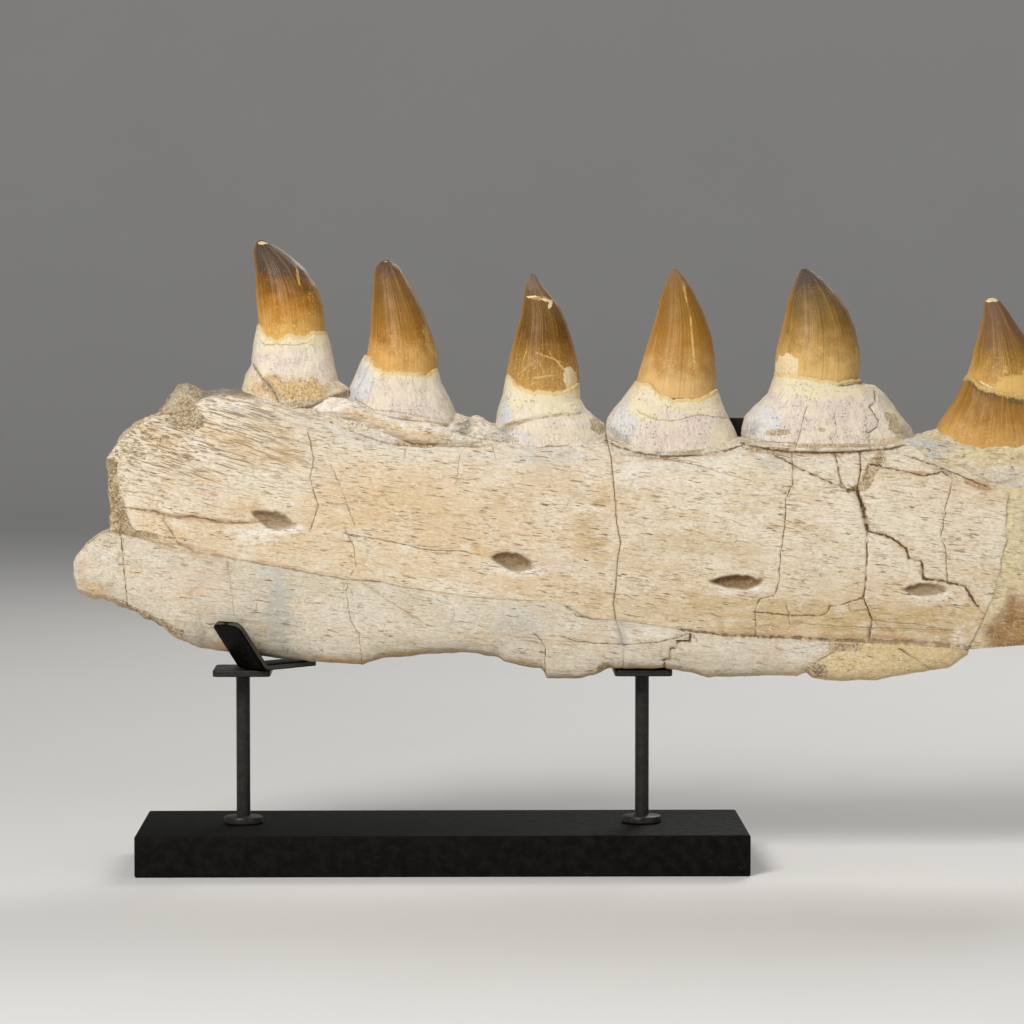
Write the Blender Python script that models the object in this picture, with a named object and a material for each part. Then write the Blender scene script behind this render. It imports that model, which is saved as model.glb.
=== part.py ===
"""The right lower jaw of a large mosasaur on its display stand, as a museum shows it.

The jaw lies along X with its outer side towards -Y and its rear end at -X. Lengths below are in
millimetres; the objects are made in metres. The origin is on the floor, below the middle of the model.
"""

import math
from collections import namedtuple

import bmesh
import bpy
from mathutils import Vector

MM = 0.001
GAP = 0.3  # space kept between pieces that touch

# ---------------------------------------------------------------- stand
BASE_LENGTH = 304.8
BASE_DEPTH = 101.6
BASE_HEIGHT = 20.6
BASE_EDGE = 0.8
BASE_X = -77.65  # middle of the base, which stands left of the jaw's middle

ROD_OFFSET = 100.9  # of each rod from the middle of the base
ROD_RADIUS = 3.5
ROD_SIDES = 24
FLANGE_RADIUS = 10.0
FLANGE_HEIGHT = 3.5
FLANGE_EDGE = 0.8

SADDLE_LENGTH = 29.0
SADDLE_DEPTH = 36.0
SADDLE_TOP = 99.6
PLATE_THICKNESS = 3.2
PLATE_EDGE = 0.5

CLIP_WIDTH = 19.0
CLIP_BEND = (-171.5, -15.2)  # where the strip turns up, seen from above
CLIP_HEADING = math.radians(42.0)  # of the foot, from +Y towards +X
CLIP_SLOPE = math.radians(40.0)  # of the upright end, outwards from vertical
CLIP_FOOT = 34.0
CLIP_ARM = 28.0
CLIP_CORNER = 3.0  # radius of the corners at its upright end
CLIP_INNER_BEND = 2.0  # radius inside the bend
CLIP_BEND_STEPS = 5

ARM_RADIUS = 3.5
ARM_BEND = 9.0
ARM_BEND_STEPS = 6
ARM_PLANE = 31.5  # distance of the upright arms behind the jaw's middle plane
ARM_TIPS = {"left": (-196.0, 176.0), "right": (72.0, 220.0)}  # x and height of each arm's tip
TAB_SIZE = (19.0, 24.0)  # of the flat steel tab at the tip, along X and upright
TAB_ABOVE_ARM = 5.0

# ---------------------------------------------------------------- jaw
DENTARY_REAR = -245.5
DENTARY_FRONT = 254.0  # where the broken front end begins to close in
SPLENIAL_FRONT = 187.0
BREAK_X = 204.0  # in front of this the outer layer of bone is lost
BREAK_STEP = 2.0
BREAK_DEPTH = 0.85  # what is left of the outer half-width there

# Outlines of the jaw from the side, as (x, height).
OUTER_RIM = [
    (-245.5, 201), (-242, 211), (-233, 221), (-221, 227), (-206, 228), (-196, 239), (-179, 239),
    (-154, 231), (-124, 220), (-96, 212), (-67, 213), (-29, 210), (4, 214), (19, 210), (151, 211),
    (168, 217), (185, 212), (264, 213),
]
CREST = [
    (-245.5, 202), (-242, 212), (-233, 222), (-221, 228), (-206, 228), (-196, 241), (-127, 240),
    (-71, 228), (-52, 223), (4, 220), (73, 216), (160, 217), (172, 221), (209, 219), (264, 217),
]
UNDERSIDE = [
    (-264, 146), (-262, 137), (-244, 133), (-227, 125), (-213, 118), (-200, 110.5), (-185, 108),
    (-163, 105), (-137, 103.6), (-118, 102), (-108, 106), (-65, 108), (-49, 106), (-38, 101), (-27, 99),
    (-25, 95), (-10, 95), (5, 100.3), (39, 100.3), (53, 96), (101, 97), (106, 98), (113, 94), (141, 94),
    (176, 100), (186, 106), (212, 109), (264, 113),
]
SEAM = [
    (-264, 153), (-261, 158), (-257, 163), (-250, 168), (-243, 169), (-216, 163), (-179, 155),
    (-138, 148), (-99, 142), (-60, 136.5), (-17, 133), (-3, 126), (13, 125), (47, 118.5), (118, 114),
    (187, 110), (200, 111), (264, 116),
]
SEAM_RISE = [(-264, 0), (-250, 8), (-220, 22), (-60, 26), (100, 12), (187, 4), (264, 3)]
OUTER_HALF = [(-264, 11), (-245, 19), (-200, 24), (-100, 25), (100, 26), (210, 25), (264, 22)]
INNER_HALF = [(-264, 9), (-245, 16), (-200, 21), (0, 23), (210, 22), (264, 20)]

WIDEST = 0.45  # share of the jaw's height at which it is widest
RIM_WIDTH = 0.80  # half-width left at the rim
GROOVE_AT = 0.58  # height of the groove along the inner side
GROOVE_SPREAD = 0.09
GROOVE_DEPTH = 0.16
INNER_RIM_DROP = 5.0
OUTER_STEPS = 9  # points up the outer wall of the dentary, over its top and down inside
TOP_SHARES = (0.2, 0.4, 0.6, 0.8)
TOP_FULLNESS = 0.8
INNER_STEPS = 7
SPLENIAL_DOWN = (0.0, 0.3, 0.58, 0.8, 0.93)  # shares of the splenial's height, down its outer wall
SPLENIAL_UP = (0.05, 0.18, 0.38, 0.68, 1.0)  # and up its inner wall
SEAM_SHARES = (0.33, 0.67)  # points across the face where the two bones meet

# Stations along the jaw, which both bones share so that their seam fits.
REAR_STATIONS = [
    -264, -263, -261, -257, -250, -245.5, -244, -242, -238, -233, -227, -221, -213, -206, -200, -196,
    -188, -179,
]
STATION_STEP = 9.2
FRONT_TAPER = [(260, 0.9), (264, 0.72)]  # the broken front end closes in

# ---------------------------------------------------------------- teeth
# One tooth: the crown's base (x, height), its width and height, how far the tip leans along x, the
# swell of the front edge, the fullness of the outline and the share of the width left at the tip;
# then the mound of bone that carries it: x and width at the crown, x and width at the jaw.
Tooth = namedtuple("Tooth", "x z width height lean belly fullness tip top_x top_width foot_x foot_width")
TEETH = [
    Tooth(-153.3, 268.5, 32.8, 46.5, -16.0, 1.5, 2.3, 0.16, -153.3, 38.8, -151.7, 56.0),
    Tooth(-97.8, 249.8, 34.8, 56.0, -8.9, 0.6, 1.7, 0.14, -98.8, 39.8, -97.7, 56.0),
    Tooth(-27.0, 241.3, 36.3, 57.0, -5.2, 1.2, 1.6, 0.06, -27.7, 39.5, -23.7, 56.0),
    Tooth(40.1, 238.7, 39.3, 62.4, -0.2, 2.4, 1.6, 0.06, 38.8, 46.0, 37.4, 68.0),
    Tooth(110.9, 245.3, 41.9, 55.5, -5.6, 2.2, 2.2, 0.13, 114.5, 55.0, 116.0, 86.0),
    Tooth(206.3, 240.7, 40.8, 45.9, -6.0, 2.0, 1.7, 0.16, 206.0, 47.4, 204.0, 68.0),
]
CROWN_DEPTH = 0.82  # width across the jaw over width along it
CROWN_FALL = 0.87  # how quickly the outline closes to the tip
CROWN_SPACING = 0.85  # below 1, rings are closer together near the tip
CROWN_INWARD = 6.0  # the tips curve towards the inner side
CROWN_RINGS = 8
CROWN_SIDES = 16
MOUND_COLLAR = 3.0  # how much deeper a mound's top is than the crown on it
MOUND_DEPTH = 40.0  # across the jaw, at a mound's foot
MOUND_FLARE = 0.8
MOUND_RINGS = 4
MOUND_SIDES = 20
MOUND_SUNK = 8.0  # how far a mound goes down into the bone

# The lump of rock: its ridge as (x, height), and its half-width at the middle.
LUMP_RIDGE = [
    (-220.5, 235), (-217, 239), (-213, 242), (-210, 244), (-206, 243), (-203, 241.5), (-199.5, 240.5),
]
LUMP_HALF = 16.0
LUMP_NARROWING = 0.3  # of the half-width, towards its ends
LUMP_BULGE = 1.1
LUMP_TURNS = (0.12, 0.3, 0.5, 0.7, 0.88)  # points over its top, as shares of a half turn
LUMP_CLEARANCE = 0.8  # over the line of the crest, which the bone's curved top passes by a little

# Largest angle, in degrees, between faces that are shaded as one smooth surface.
BONE_SMOOTH = 40
CROWN_SMOOTH = 50
STEEL_SMOOTH = 30

# Colour, roughness and metallic value of each finish.
FINISHES = {
    "bone": ((0.72, 0.58, 0.40), 0.75, 0.0),
    "splenial": ((0.62, 0.54, 0.42), 0.78, 0.0),
    "enamel": ((0.40, 0.21, 0.06), 0.30, 0.0),
    "matrix": ((0.42, 0.31, 0.18), 0.95, 0.0),
    "steel": ((0.02, 0.02, 0.02), 0.35, 0.0),
    "base": ((0.015, 0.014, 0.013), 0.45, 0.0),
}


# ---------------------------------------------------------------- helpers
def clear_scene():
    for item in list(bpy.data.objects):
        bpy.data.objects.remove(item)


def material(name):
    found = bpy.data.materials.get(name)
    if found:
        return found
    colour, roughness, metallic = FINISHES[name]
    made = bpy.data.materials.new(name)
    made.use_nodes = True
    shader = made.node_tree.nodes["Principled BSDF"]
    shader.inputs["Base Color"].default_value = (*colour, 1.0)
    shader.inputs["Roughness"].default_value = roughness
    shader.inputs["Metallic"].default_value = metallic
    return made


def put_in_scene(name, bm, finish, smooth_angle=None):
    """Makes an object of the bmesh, with its faces turned outwards."""
    bmesh.ops.recalc_face_normals(bm, faces=bm.faces)
    mesh = bpy.data.meshes.new(name)
    bm.to_mesh(mesh)
    bm.free()
    mesh.materials.append(material(finish))
    if smooth_angle is not None:
        mesh.shade_smooth()
        mesh.set_sharp_from_angle(angle=math.radians(smooth_angle))
    made = bpy.data.objects.new(name, mesh)
    bpy.context.collection.objects.link(made)
    return made


def loft(rings):
    """A closed solid: the first ring is filled, then extruded from each ring to the next."""
    bm = bmesh.new()
    face = bm.faces.new([bm.verts.new(Vector(point) * MM) for point in rings[0]])
    corners = list(face.verts)
    for number, ring in enumerate(rings[1:]):
        places = {tuple(corner.co): index for index, corner in enumerate(corners)}
        made = bmesh.ops.extrude_face_region(bm, geom=[face])["geom"]
        if number > 0:
            bm.faces.remove(face)  # the face left inside
        new_corners = [part for part in made if isinstance(part, bmesh.types.BMVert)]
        face = next(part for part in made if isinstance(part, bmesh.types.BMFace))
        corners = [None] * len(ring)
        for corner in new_corners:
            corners[places[tuple(corner.co)]] = corner
        for corner, point in zip(corners, ring):
            corner.co = Vector(point) * MM
    return bm


def line_at(points, x):
    """Height at x of the line through the points, level beyond its ends."""
    if x <= points[0][0]:
        return points[0][1]
    for (x0, z0), (x1, z1) in zip(points, points[1:]):
        if x <= x1:
            return z0 + (z1 - z0) * (x - x0) / (x1 - x0)
    return points[-1][1]


def steps(count):
    """Shares from 0 to 1 in count steps."""
    return [index / count for index in range(count + 1)]


def even_stations(start, end):
    """x values after start, in even steps up to and with end."""
    count = math.ceil((end - start) / STATION_STEP)
    return [start + (end - start) * (index + 1) / count for index in range(count)]


# ---------------------------------------------------------------- jaw section
def swell(share):
    """Half-width of the jaw at a share of its height, over its largest half-width."""
    if share < WIDEST:
        return (1 - (1 - share / WIDEST) ** 3) ** (1 / 3)
    return 1 - (1 - RIM_WIDTH) * ((share - WIDEST) / (1 - WIDEST)) ** 2


def outer_wall(x, z):
    """y of the outer side."""
    low = line_at(UNDERSIDE, x)
    share = (z - low) / (line_at(OUTER_RIM, x) - low)
    kept = BREAK_DEPTH if x > BREAK_X else 1.0
    return -line_at(OUTER_HALF, x) * swell(min(max(share, 0), 1)) * kept


def inner_wall(x, z):
    """y of the inner side, with its lengthwise groove."""
    low = line_at(UNDERSIDE, x)
    share = (z - low) / (line_at(OUTER_RIM, x) - INNER_RIM_DROP - low)
    share = min(max(share, 0), 1)
    groove = GROOVE_DEPTH * math.exp(-(((share - GROOVE_AT) / GROOVE_SPREAD) ** 2))
    return line_at(INNER_HALF, x) * swell(share) * (1 - groove)


def dentary_ring(x):
    """Points round the dentary, from the seam up the outer wall, over the top and down inside."""
    low_out = line_at(SEAM, x) + GAP / 2
    low_in = low_out + line_at(SEAM_RISE, x)
    rim_out = line_at(OUTER_RIM, x)
    rim_in = rim_out - INNER_RIM_DROP
    ring = []
    for share in steps(OUTER_STEPS):
        z = low_out + (rim_out - low_out) * share
        ring.append((x, outer_wall(x, z), z))
    start, end = ring[-1], (x, inner_wall(x, rim_in), rim_in)
    crest = line_at(CREST, x)
    for share in TOP_SHARES:
        side = start[2] + (end[2] - start[2]) * share
        z = side + (crest - (start[2] + end[2]) / 2) * math.sin(math.pi * share) ** TOP_FULLNESS
        ring.append((x, start[1] + (end[1] - start[1]) * share, z))
    for share in steps(INNER_STEPS):
        z = rim_in + (low_in - rim_in) * share
        ring.append((x, inner_wall(x, z), z))
    first, last = ring[0], ring[-1]
    for share in SEAM_SHARES:
        ring.append((x, last[1] + (first[1] - last[1]) * share, last[2] + (first[2] - last[2]) * share))
    return ring


def splenial_ring(x):
    """Points round the splenial, from the seam down the outer wall, round the keel and up inside."""
    high_out = line_at(SEAM, x) - GAP / 2
    high_in = high_out + line_at(SEAM_RISE, x)
    low = line_at(UNDERSIDE, x)
    ring = []
    for share in SPLENIAL_DOWN:
        z = high_out + (low - high_out) * share
        ring.append((x, outer_wall(x, z), z))
    ring.append((x, 0.0, low))
    for share in SPLENIAL_UP:
        z = low + (high_in - low) * share
        ring.append((x, inner_wall(x, z), z))
    first, last = ring[0], ring[-1]
    for share in SEAM_SHARES:
        ring.append((x, last[1] + (first[1] - last[1]) * share, last[2] + (first[2] - last[2]) * share))
    return ring


def closed_in(ring, share):
    """The ring drawn in towards its own middle height."""
    middle = (max(point[2] for point in ring) + min(point[2] for point in ring)) / 2
    return [(x, y * share, middle + (z - middle) * share) for x, y, z in ring]


# ---------------------------------------------------------------- teeth
def crown_rings(tooth):
    """Level rings of one crown, from its base to its tip."""
    rings = []
    for share in steps(CROWN_RINGS):
        rise = share ** CROWN_SPACING
        half = tooth.width / 2 * max((1 - rise ** tooth.fullness) ** CROWN_FALL, tooth.tip)
        middle_x = tooth.x + tooth.belly * math.sin(math.pi * rise) + tooth.lean * rise ** 2
        middle_y = CROWN_INWARD * rise ** 2
        z = tooth.z + GAP + (tooth.height - GAP) * rise
        rings.append(oval(middle_x, middle_y, z, half, half * CROWN_DEPTH, CROWN_SIDES))
    return rings


def mound_rings(tooth):
    """Level rings of the bone that carries one crown, from inside the jaw up to the crown."""
    foot_z = line_at(OUTER_RIM, tooth.foot_x)
    top_depth = tooth.width * CROWN_DEPTH + MOUND_COLLAR
    rings = []
    for share in [-MOUND_SUNK / (tooth.z - foot_z)] + steps(MOUND_RINGS):
        climb = max(share, 0)
        width = tooth.foot_width + (tooth.top_width - tooth.foot_width) * climb ** MOUND_FLARE
        depth = MOUND_DEPTH + (top_depth - MOUND_DEPTH) * climb
        x = tooth.foot_x + (tooth.top_x - tooth.foot_x) * climb
        z = foot_z + (tooth.z - foot_z) * share
        rings.append(oval(x, 0, z, width / 2, depth / 2, MOUND_SIDES))
    return rings


def oval(x, y, z, half_x, half_y, sides):
    """Points of a level oval."""
    turns = [2 * math.pi * index / sides for index in range(sides)]
    return [(x + half_x * math.cos(turn), y + half_y * math.sin(turn), z) for turn in turns]


# ---------------------------------------------------------------- pieces
def make_dentary():
    places = [x for x in REAR_STATIONS if x >= DENTARY_REAR]
    places += even_stations(REAR_STATIONS[-1], SPLENIAL_FRONT)
    places += even_stations(SPLENIAL_FRONT, BREAK_X)
    places += even_stations(BREAK_X + BREAK_STEP, DENTARY_FRONT)
    rings = [dentary_ring(x) for x in places]
    rings += [closed_in(dentary_ring(x), share) for x, share in FRONT_TAPER]
    dentary = put_in_scene("dentary", loft(rings), "bone", BONE_SMOOTH)
    for index, tooth in enumerate(TEETH):
        mound = put_in_scene(f"mound_{index + 1}", loft(mound_rings(tooth)), "bone")
        mound.hide_render = True
        mound.display_type = "WIRE"
        union = dentary.modifiers.new(f"mound_{index + 1}", "BOOLEAN")
        union.operation = "UNION"
        union.solver = "EXACT"
        union.object = mound


def make_splenial():
    places = REAR_STATIONS + even_stations(REAR_STATIONS[-1], SPLENIAL_FRONT)
    put_in_scene("splenial", loft([splenial_ring(x) for x in places]), "splenial", BONE_SMOOTH)


def make_teeth():
    for index, tooth in enumerate(TEETH):
        put_in_scene(f"tooth_{index + 1}", loft(crown_rings(tooth)), "enamel", CROWN_SMOOTH)


def make_matrix():
    """The lump of rock left on the upper rear corner."""
    rings = []
    for index, (x, ridge) in enumerate(LUMP_RIDGE):
        share = index / (len(LUMP_RIDGE) - 1)
        half = LUMP_HALF * (1 - LUMP_NARROWING * (1 - math.sin(math.pi * share)))
        floor = line_at(CREST, x) + LUMP_CLEARANCE
        ring = [(x, -half, floor), (x, half, floor)]
        for turn in LUMP_TURNS:
            angle = math.pi * turn
            y = half * LUMP_BULGE * math.cos(angle)
            ring.append((x, y, floor + (ridge - floor) * math.sin(angle)))
        rings.append(ring)
    put_in_scene("matrix_lump", loft(rings), "matrix")


def block(name, size, middle, edge, finish):
    """A box with rounded edges."""
    bm = bmesh.new()
    bmesh.ops.create_cube(bm, size=1.0)
    bmesh.ops.scale(bm, vec=Vector(size) * MM, verts=bm.verts)
    bmesh.ops.translate(bm, vec=Vector(middle) * MM, verts=bm.verts)
    bmesh.ops.bevel(
        bm, geom=bm.edges[:], offset=edge * MM, segments=2, profile=0.5, affect="EDGES", material=-1
    )
    put_in_scene(name, bm, finish, STEEL_SMOOTH)


def turned(name, radius, low, high, x, finish, chamfer=0.0):
    """An upright round bar or disc, with its top edge rounded where a chamfer is given."""
    bm = bmesh.new()
    bmesh.ops.create_cone(
        bm,
        cap_ends=True,
        segments=ROD_SIDES,
        radius1=radius * MM,
        radius2=radius * MM,
        depth=(high - low) * MM,
    )
    bmesh.ops.translate(bm, vec=Vector((x, 0, (low + high) / 2)) * MM, verts=bm.verts)
    if chamfer:
        top = [edge for edge in bm.edges if all(corner.co.z > (high - 0.1) * MM for corner in edge.verts)]
        bmesh.ops.bevel(
            bm, geom=top, offset=chamfer * MM, segments=2, profile=0.5, affect="EDGES", material=-1
        )
    put_in_scene(name, bm, finish, STEEL_SMOOTH)


def make_clip():
    """A flat strip under the jaw whose front end turns up and outwards against the bone."""
    ahead = Vector((math.sin(CLIP_HEADING), math.cos(CLIP_HEADING), 0))
    across = Vector((math.cos(CLIP_HEADING), -math.sin(CLIP_HEADING), 0))
    up = Vector((0, 0, 1))
    radius = PLATE_THICKNESS / 2 + CLIP_INNER_BEND
    bend = Vector((CLIP_BEND[0], CLIP_BEND[1], SADDLE_TOP + GAP + PLATE_THICKNESS / 2))
    turn = math.pi / 2 - CLIP_SLOPE
    path = [(bend + ahead * CLIP_FOOT, up, CLIP_WIDTH)]
    for share in steps(CLIP_BEND_STEPS):
        angle = turn * share
        centre = bend + up * radius
        path.append((centre - ahead * radius * math.sin(angle) - up * radius * math.cos(angle),
                     up * math.cos(angle) + ahead * math.sin(angle), CLIP_WIDTH))
    end, normal, _ = path[-1]
    along = -ahead * math.cos(turn) + up * math.sin(turn)
    path.append((end + along * (CLIP_ARM - CLIP_CORNER), normal, CLIP_WIDTH))
    for share in (0.5, 0.85, 1.0):
        width = CLIP_WIDTH - 2 * CLIP_CORNER * (1 - math.sqrt(1 - share ** 2))
        path.append((end + along * (CLIP_ARM - CLIP_CORNER * (1 - share)), normal, width))
    rings = []
    for centre, face_out, width in path:
        side, thick = across * width / 2, face_out * PLATE_THICKNESS / 2
        corners = (-side - thick, side - thick, side + thick, thick - side)
        rings.append([centre + corner for corner in corners])
    put_in_scene("stand_clip_front", loft(rings), "steel", STEEL_SMOOTH)


def make_arm(side, rod_x):
    """A bent rod from the back of a saddle up behind the jaw."""
    tip_x, tip_z = ARM_TIPS[side]
    start = Vector((rod_x, SADDLE_DEPTH / 2 + GAP, SADDLE_TOP - PLATE_THICKNESS / 2))
    lean = math.atan2(tip_x - start.x, tip_z - start.z)
    rise = Vector((math.sin(lean), 0, math.cos(lean)))
    back = Vector((0, 1, 0))
    corner = start + back * (ARM_PLANE - ARM_BEND - start.y)
    centre = corner + rise * ARM_BEND
    points = [start]
    for share in steps(ARM_BEND_STEPS):
        angle = math.pi / 2 * share
        points.append(centre - rise * ARM_BEND * math.cos(angle) + back * ARM_BEND * math.sin(angle))
    length = (tip_z - points[-1].z) / rise.z
    points += [points[-1] + rise * length * share for share in (0.5, 1.0)]
    curve = bpy.data.curves.new(f"stand_arm_{side}", "CURVE")
    curve.dimensions = "3D"
    curve.bevel_depth = ARM_RADIUS * MM
    curve.bevel_resolution = 4
    curve.use_fill_caps = True
    spline = curve.splines.new("POLY")
    spline.points.add(len(points) - 1)
    for place, point in zip(spline.points, points):
        place.co = (*(point * MM), 1.0)
    curve.materials.append(material("steel"))
    bpy.context.collection.objects.link(bpy.data.objects.new(f"stand_arm_{side}", curve))


def make_tab(side):
    """The flat tab between an arm's tip and the bone."""
    tip_x, tip_z = ARM_TIPS[side]
    width, height = TAB_SIZE
    y = ARM_PLANE - ARM_RADIUS - GAP - PLATE_THICKNESS / 2
    middle = (tip_x, y, tip_z + TAB_ABOVE_ARM - height / 2)
    block(f"stand_tab_{side}", (width, PLATE_THICKNESS, height), middle, PLATE_EDGE, "steel")


def make_stand():
    base_size = (BASE_LENGTH, BASE_DEPTH, BASE_HEIGHT)
    block("stand_base", base_size, (BASE_X, 0, BASE_HEIGHT / 2), BASE_EDGE, "base")
    for side, direction in (("left", -1), ("right", 1)):
        x = BASE_X + direction * ROD_OFFSET
        flange_low = BASE_HEIGHT + GAP
        flange_high = flange_low + FLANGE_HEIGHT
        plate_low = SADDLE_TOP - PLATE_THICKNESS
        turned(f"stand_flange_{side}", FLANGE_RADIUS, flange_low, flange_high, x, "steel", FLANGE_EDGE)
        turned(f"stand_rod_{side}", ROD_RADIUS, flange_high + GAP, plate_low - GAP, x, "steel")
        block(f"stand_saddle_{side}", (SADDLE_LENGTH, SADDLE_DEPTH, PLATE_THICKNESS),
              (x, 0, SADDLE_TOP - PLATE_THICKNESS / 2), PLATE_EDGE, "steel")
        make_arm(side, x)
        make_tab(side)
    make_clip()


def main():
    clear_scene()
    make_dentary()
    make_splenial()
    make_teeth()
    make_matrix()
    make_stand()


main()
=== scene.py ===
"""Finish of a mosasaur's lower jaw and its display stand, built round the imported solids.

Lengths and places are in millimetres and become metres when a mesh is written. X runs along the jaw
to its front end, the outer side faces -Y and Z is up from the floor.
"""

import itertools
import math
from collections import namedtuple

import bmesh
import bpy
import numpy as np
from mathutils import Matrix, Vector


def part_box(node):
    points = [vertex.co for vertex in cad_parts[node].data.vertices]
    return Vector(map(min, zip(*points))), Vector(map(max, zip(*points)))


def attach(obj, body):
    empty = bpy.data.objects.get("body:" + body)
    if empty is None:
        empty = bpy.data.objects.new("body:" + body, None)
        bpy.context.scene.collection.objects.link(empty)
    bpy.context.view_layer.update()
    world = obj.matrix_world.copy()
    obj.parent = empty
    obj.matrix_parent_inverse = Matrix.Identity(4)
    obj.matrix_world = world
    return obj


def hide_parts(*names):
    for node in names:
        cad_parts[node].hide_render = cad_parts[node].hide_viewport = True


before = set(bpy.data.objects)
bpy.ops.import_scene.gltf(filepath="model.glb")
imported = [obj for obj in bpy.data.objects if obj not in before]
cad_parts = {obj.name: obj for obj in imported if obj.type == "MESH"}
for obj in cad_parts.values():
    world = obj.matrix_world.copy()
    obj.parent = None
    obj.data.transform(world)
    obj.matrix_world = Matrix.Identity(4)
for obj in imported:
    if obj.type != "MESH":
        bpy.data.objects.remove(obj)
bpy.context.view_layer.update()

MM = 0.001

# ---------------------------------------------------------------- camera and room
LENS = 140.0
SENSOR = 36.0
CAMERA_PLACE = (-77.65, -2008.0, 282.4)
CAMERA_DOWN = math.radians(2.97)
CAMERA_RIGHT = math.radians(1.0)
LAMP_TARGET = (-20, 0, 190)
ROOM_FLAT = 3300.0  # radius of the level floor
ROOM_CURVE = 1500.0  # radius of the sweep from floor to wall
ROOM_STEPS = 12
ROOM_SIDES = 96
ROOM_LIGHT = 0.18

# ---------------------------------------------------------------- outlines of the jaw, as (x, height)
OUTER_RIM = [
    (-245.5, 201), (-242, 211), (-233, 221), (-221, 227), (-206, 229), (-196, 236), (-184, 237),
    (-169, 234), (-154, 231), (-139, 226), (-123, 220), (-108, 216), (-96, 213), (-67, 213), (-29, 211),
    (4, 214), (19, 211), (62, 211), (72, 213), (91, 211), (135, 211), (159, 213), (185, 212), (264, 213),
]
CREST = [
    (-245.5, 202), (-242, 212), (-233, 222), (-221, 228), (-206, 228), (-196, 240), (-127, 239),
    (-71, 228), (-52, 223), (4, 219), (73, 216), (160, 217), (172, 221), (209, 219), (264, 217),
]
UNDERSIDE = [
    (-263.7, 146), (-262, 138), (-252, 134.9), (-244, 132.9), (-236, 129), (-227, 125), (-217, 121),
    (-213, 116.5), (-207, 113.5), (-200, 110), (-192, 108.8), (-163, 104.8), (-137, 102.9), (-118, 102.1),
    (-113, 103.6), (-108, 105.6), (-95, 106.2), (-89, 107.6), (-65, 108.3), (-49, 105.6), (-47, 103.4),
    (-38, 101.2), (-28, 99.6), (-25.6, 95.2), (-10, 94.9), (-1.4, 96.4), (5, 99.8), (34, 99.8),
    (48, 98.1), (55, 95.9), (101, 96.4), (105, 98.1), (108, 95.4), (114, 93.9), (122, 93.5), (141, 94.2),
    (163, 98.1), (177, 99.9), (185, 106), (191, 108.1), (212, 109.2), (264, 113),
]
SEAM = [
    (-264, 153), (-261, 158), (-257, 163), (-250, 168), (-243, 169.4), (-230, 167), (-216, 163),
    (-203, 159.7), (-179, 155.6), (-156, 151.4), (-138, 148), (-126, 145.7), (-109, 144.9), (-99, 142.2),
    (-60, 136.5), (-34, 135), (-17.6, 133), (-3, 125.9), (13, 125.2), (41, 120.6), (63, 117.5),
    (98, 116.2), (117, 114.5), (157, 113.5), (172, 111.8), (187, 110.2), (264, 116),
]
SEAM_RISE = [(-264, 0), (-247, 0.5), (-238, 10), (-220, 22), (-60, 26), (100, 12), (187, 4), (264, 3)]
OUTER_HALF = [(-264, 11), (-245, 19), (-200, 24), (-100, 25), (100, 26), (210, 25), (264, 22)]
INNER_HALF = [(-264, 9), (-245, 16), (-200, 21), (0, 23), (210, 22), (264, 20)]
FULLNESS = [  # how squarely the outer wall meets the keel
    (-264, 6), (-214, 6), (-198, 3), (-152, 3), (-132, 6), (0, 8), (264, 8),
]
WIDEST = 0.45  # share of the jaw's height at which it is widest
RIM_WIDTH = 0.80  # half-width at the rim over the largest one
GROOVE_AT = 0.58  # lengthwise groove of the inner side
GROOVE_SPREAD = 0.09
GROOVE_DEPTH = 0.16
INNER_RIM_DROP = 5.0
MID_HEIGHT = 165.0
SEAM_TURN, FAR_TURN = 0.96, 0.58  # turns of a section on its seam side and away from it
BONE_SHARP = math.radians(62)  # edges of the bones stay sharp from this angle
UPPER_REAR = -245.5  # rear end of the upper bone
LOWER_ENDS = (-263.7, 187.0)
UPPER_CAP, LOWER_CAP = 0.05, 0.03  # share of a bone's rows that closes each of its ends
CLIP_GAP = 0.3

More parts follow.
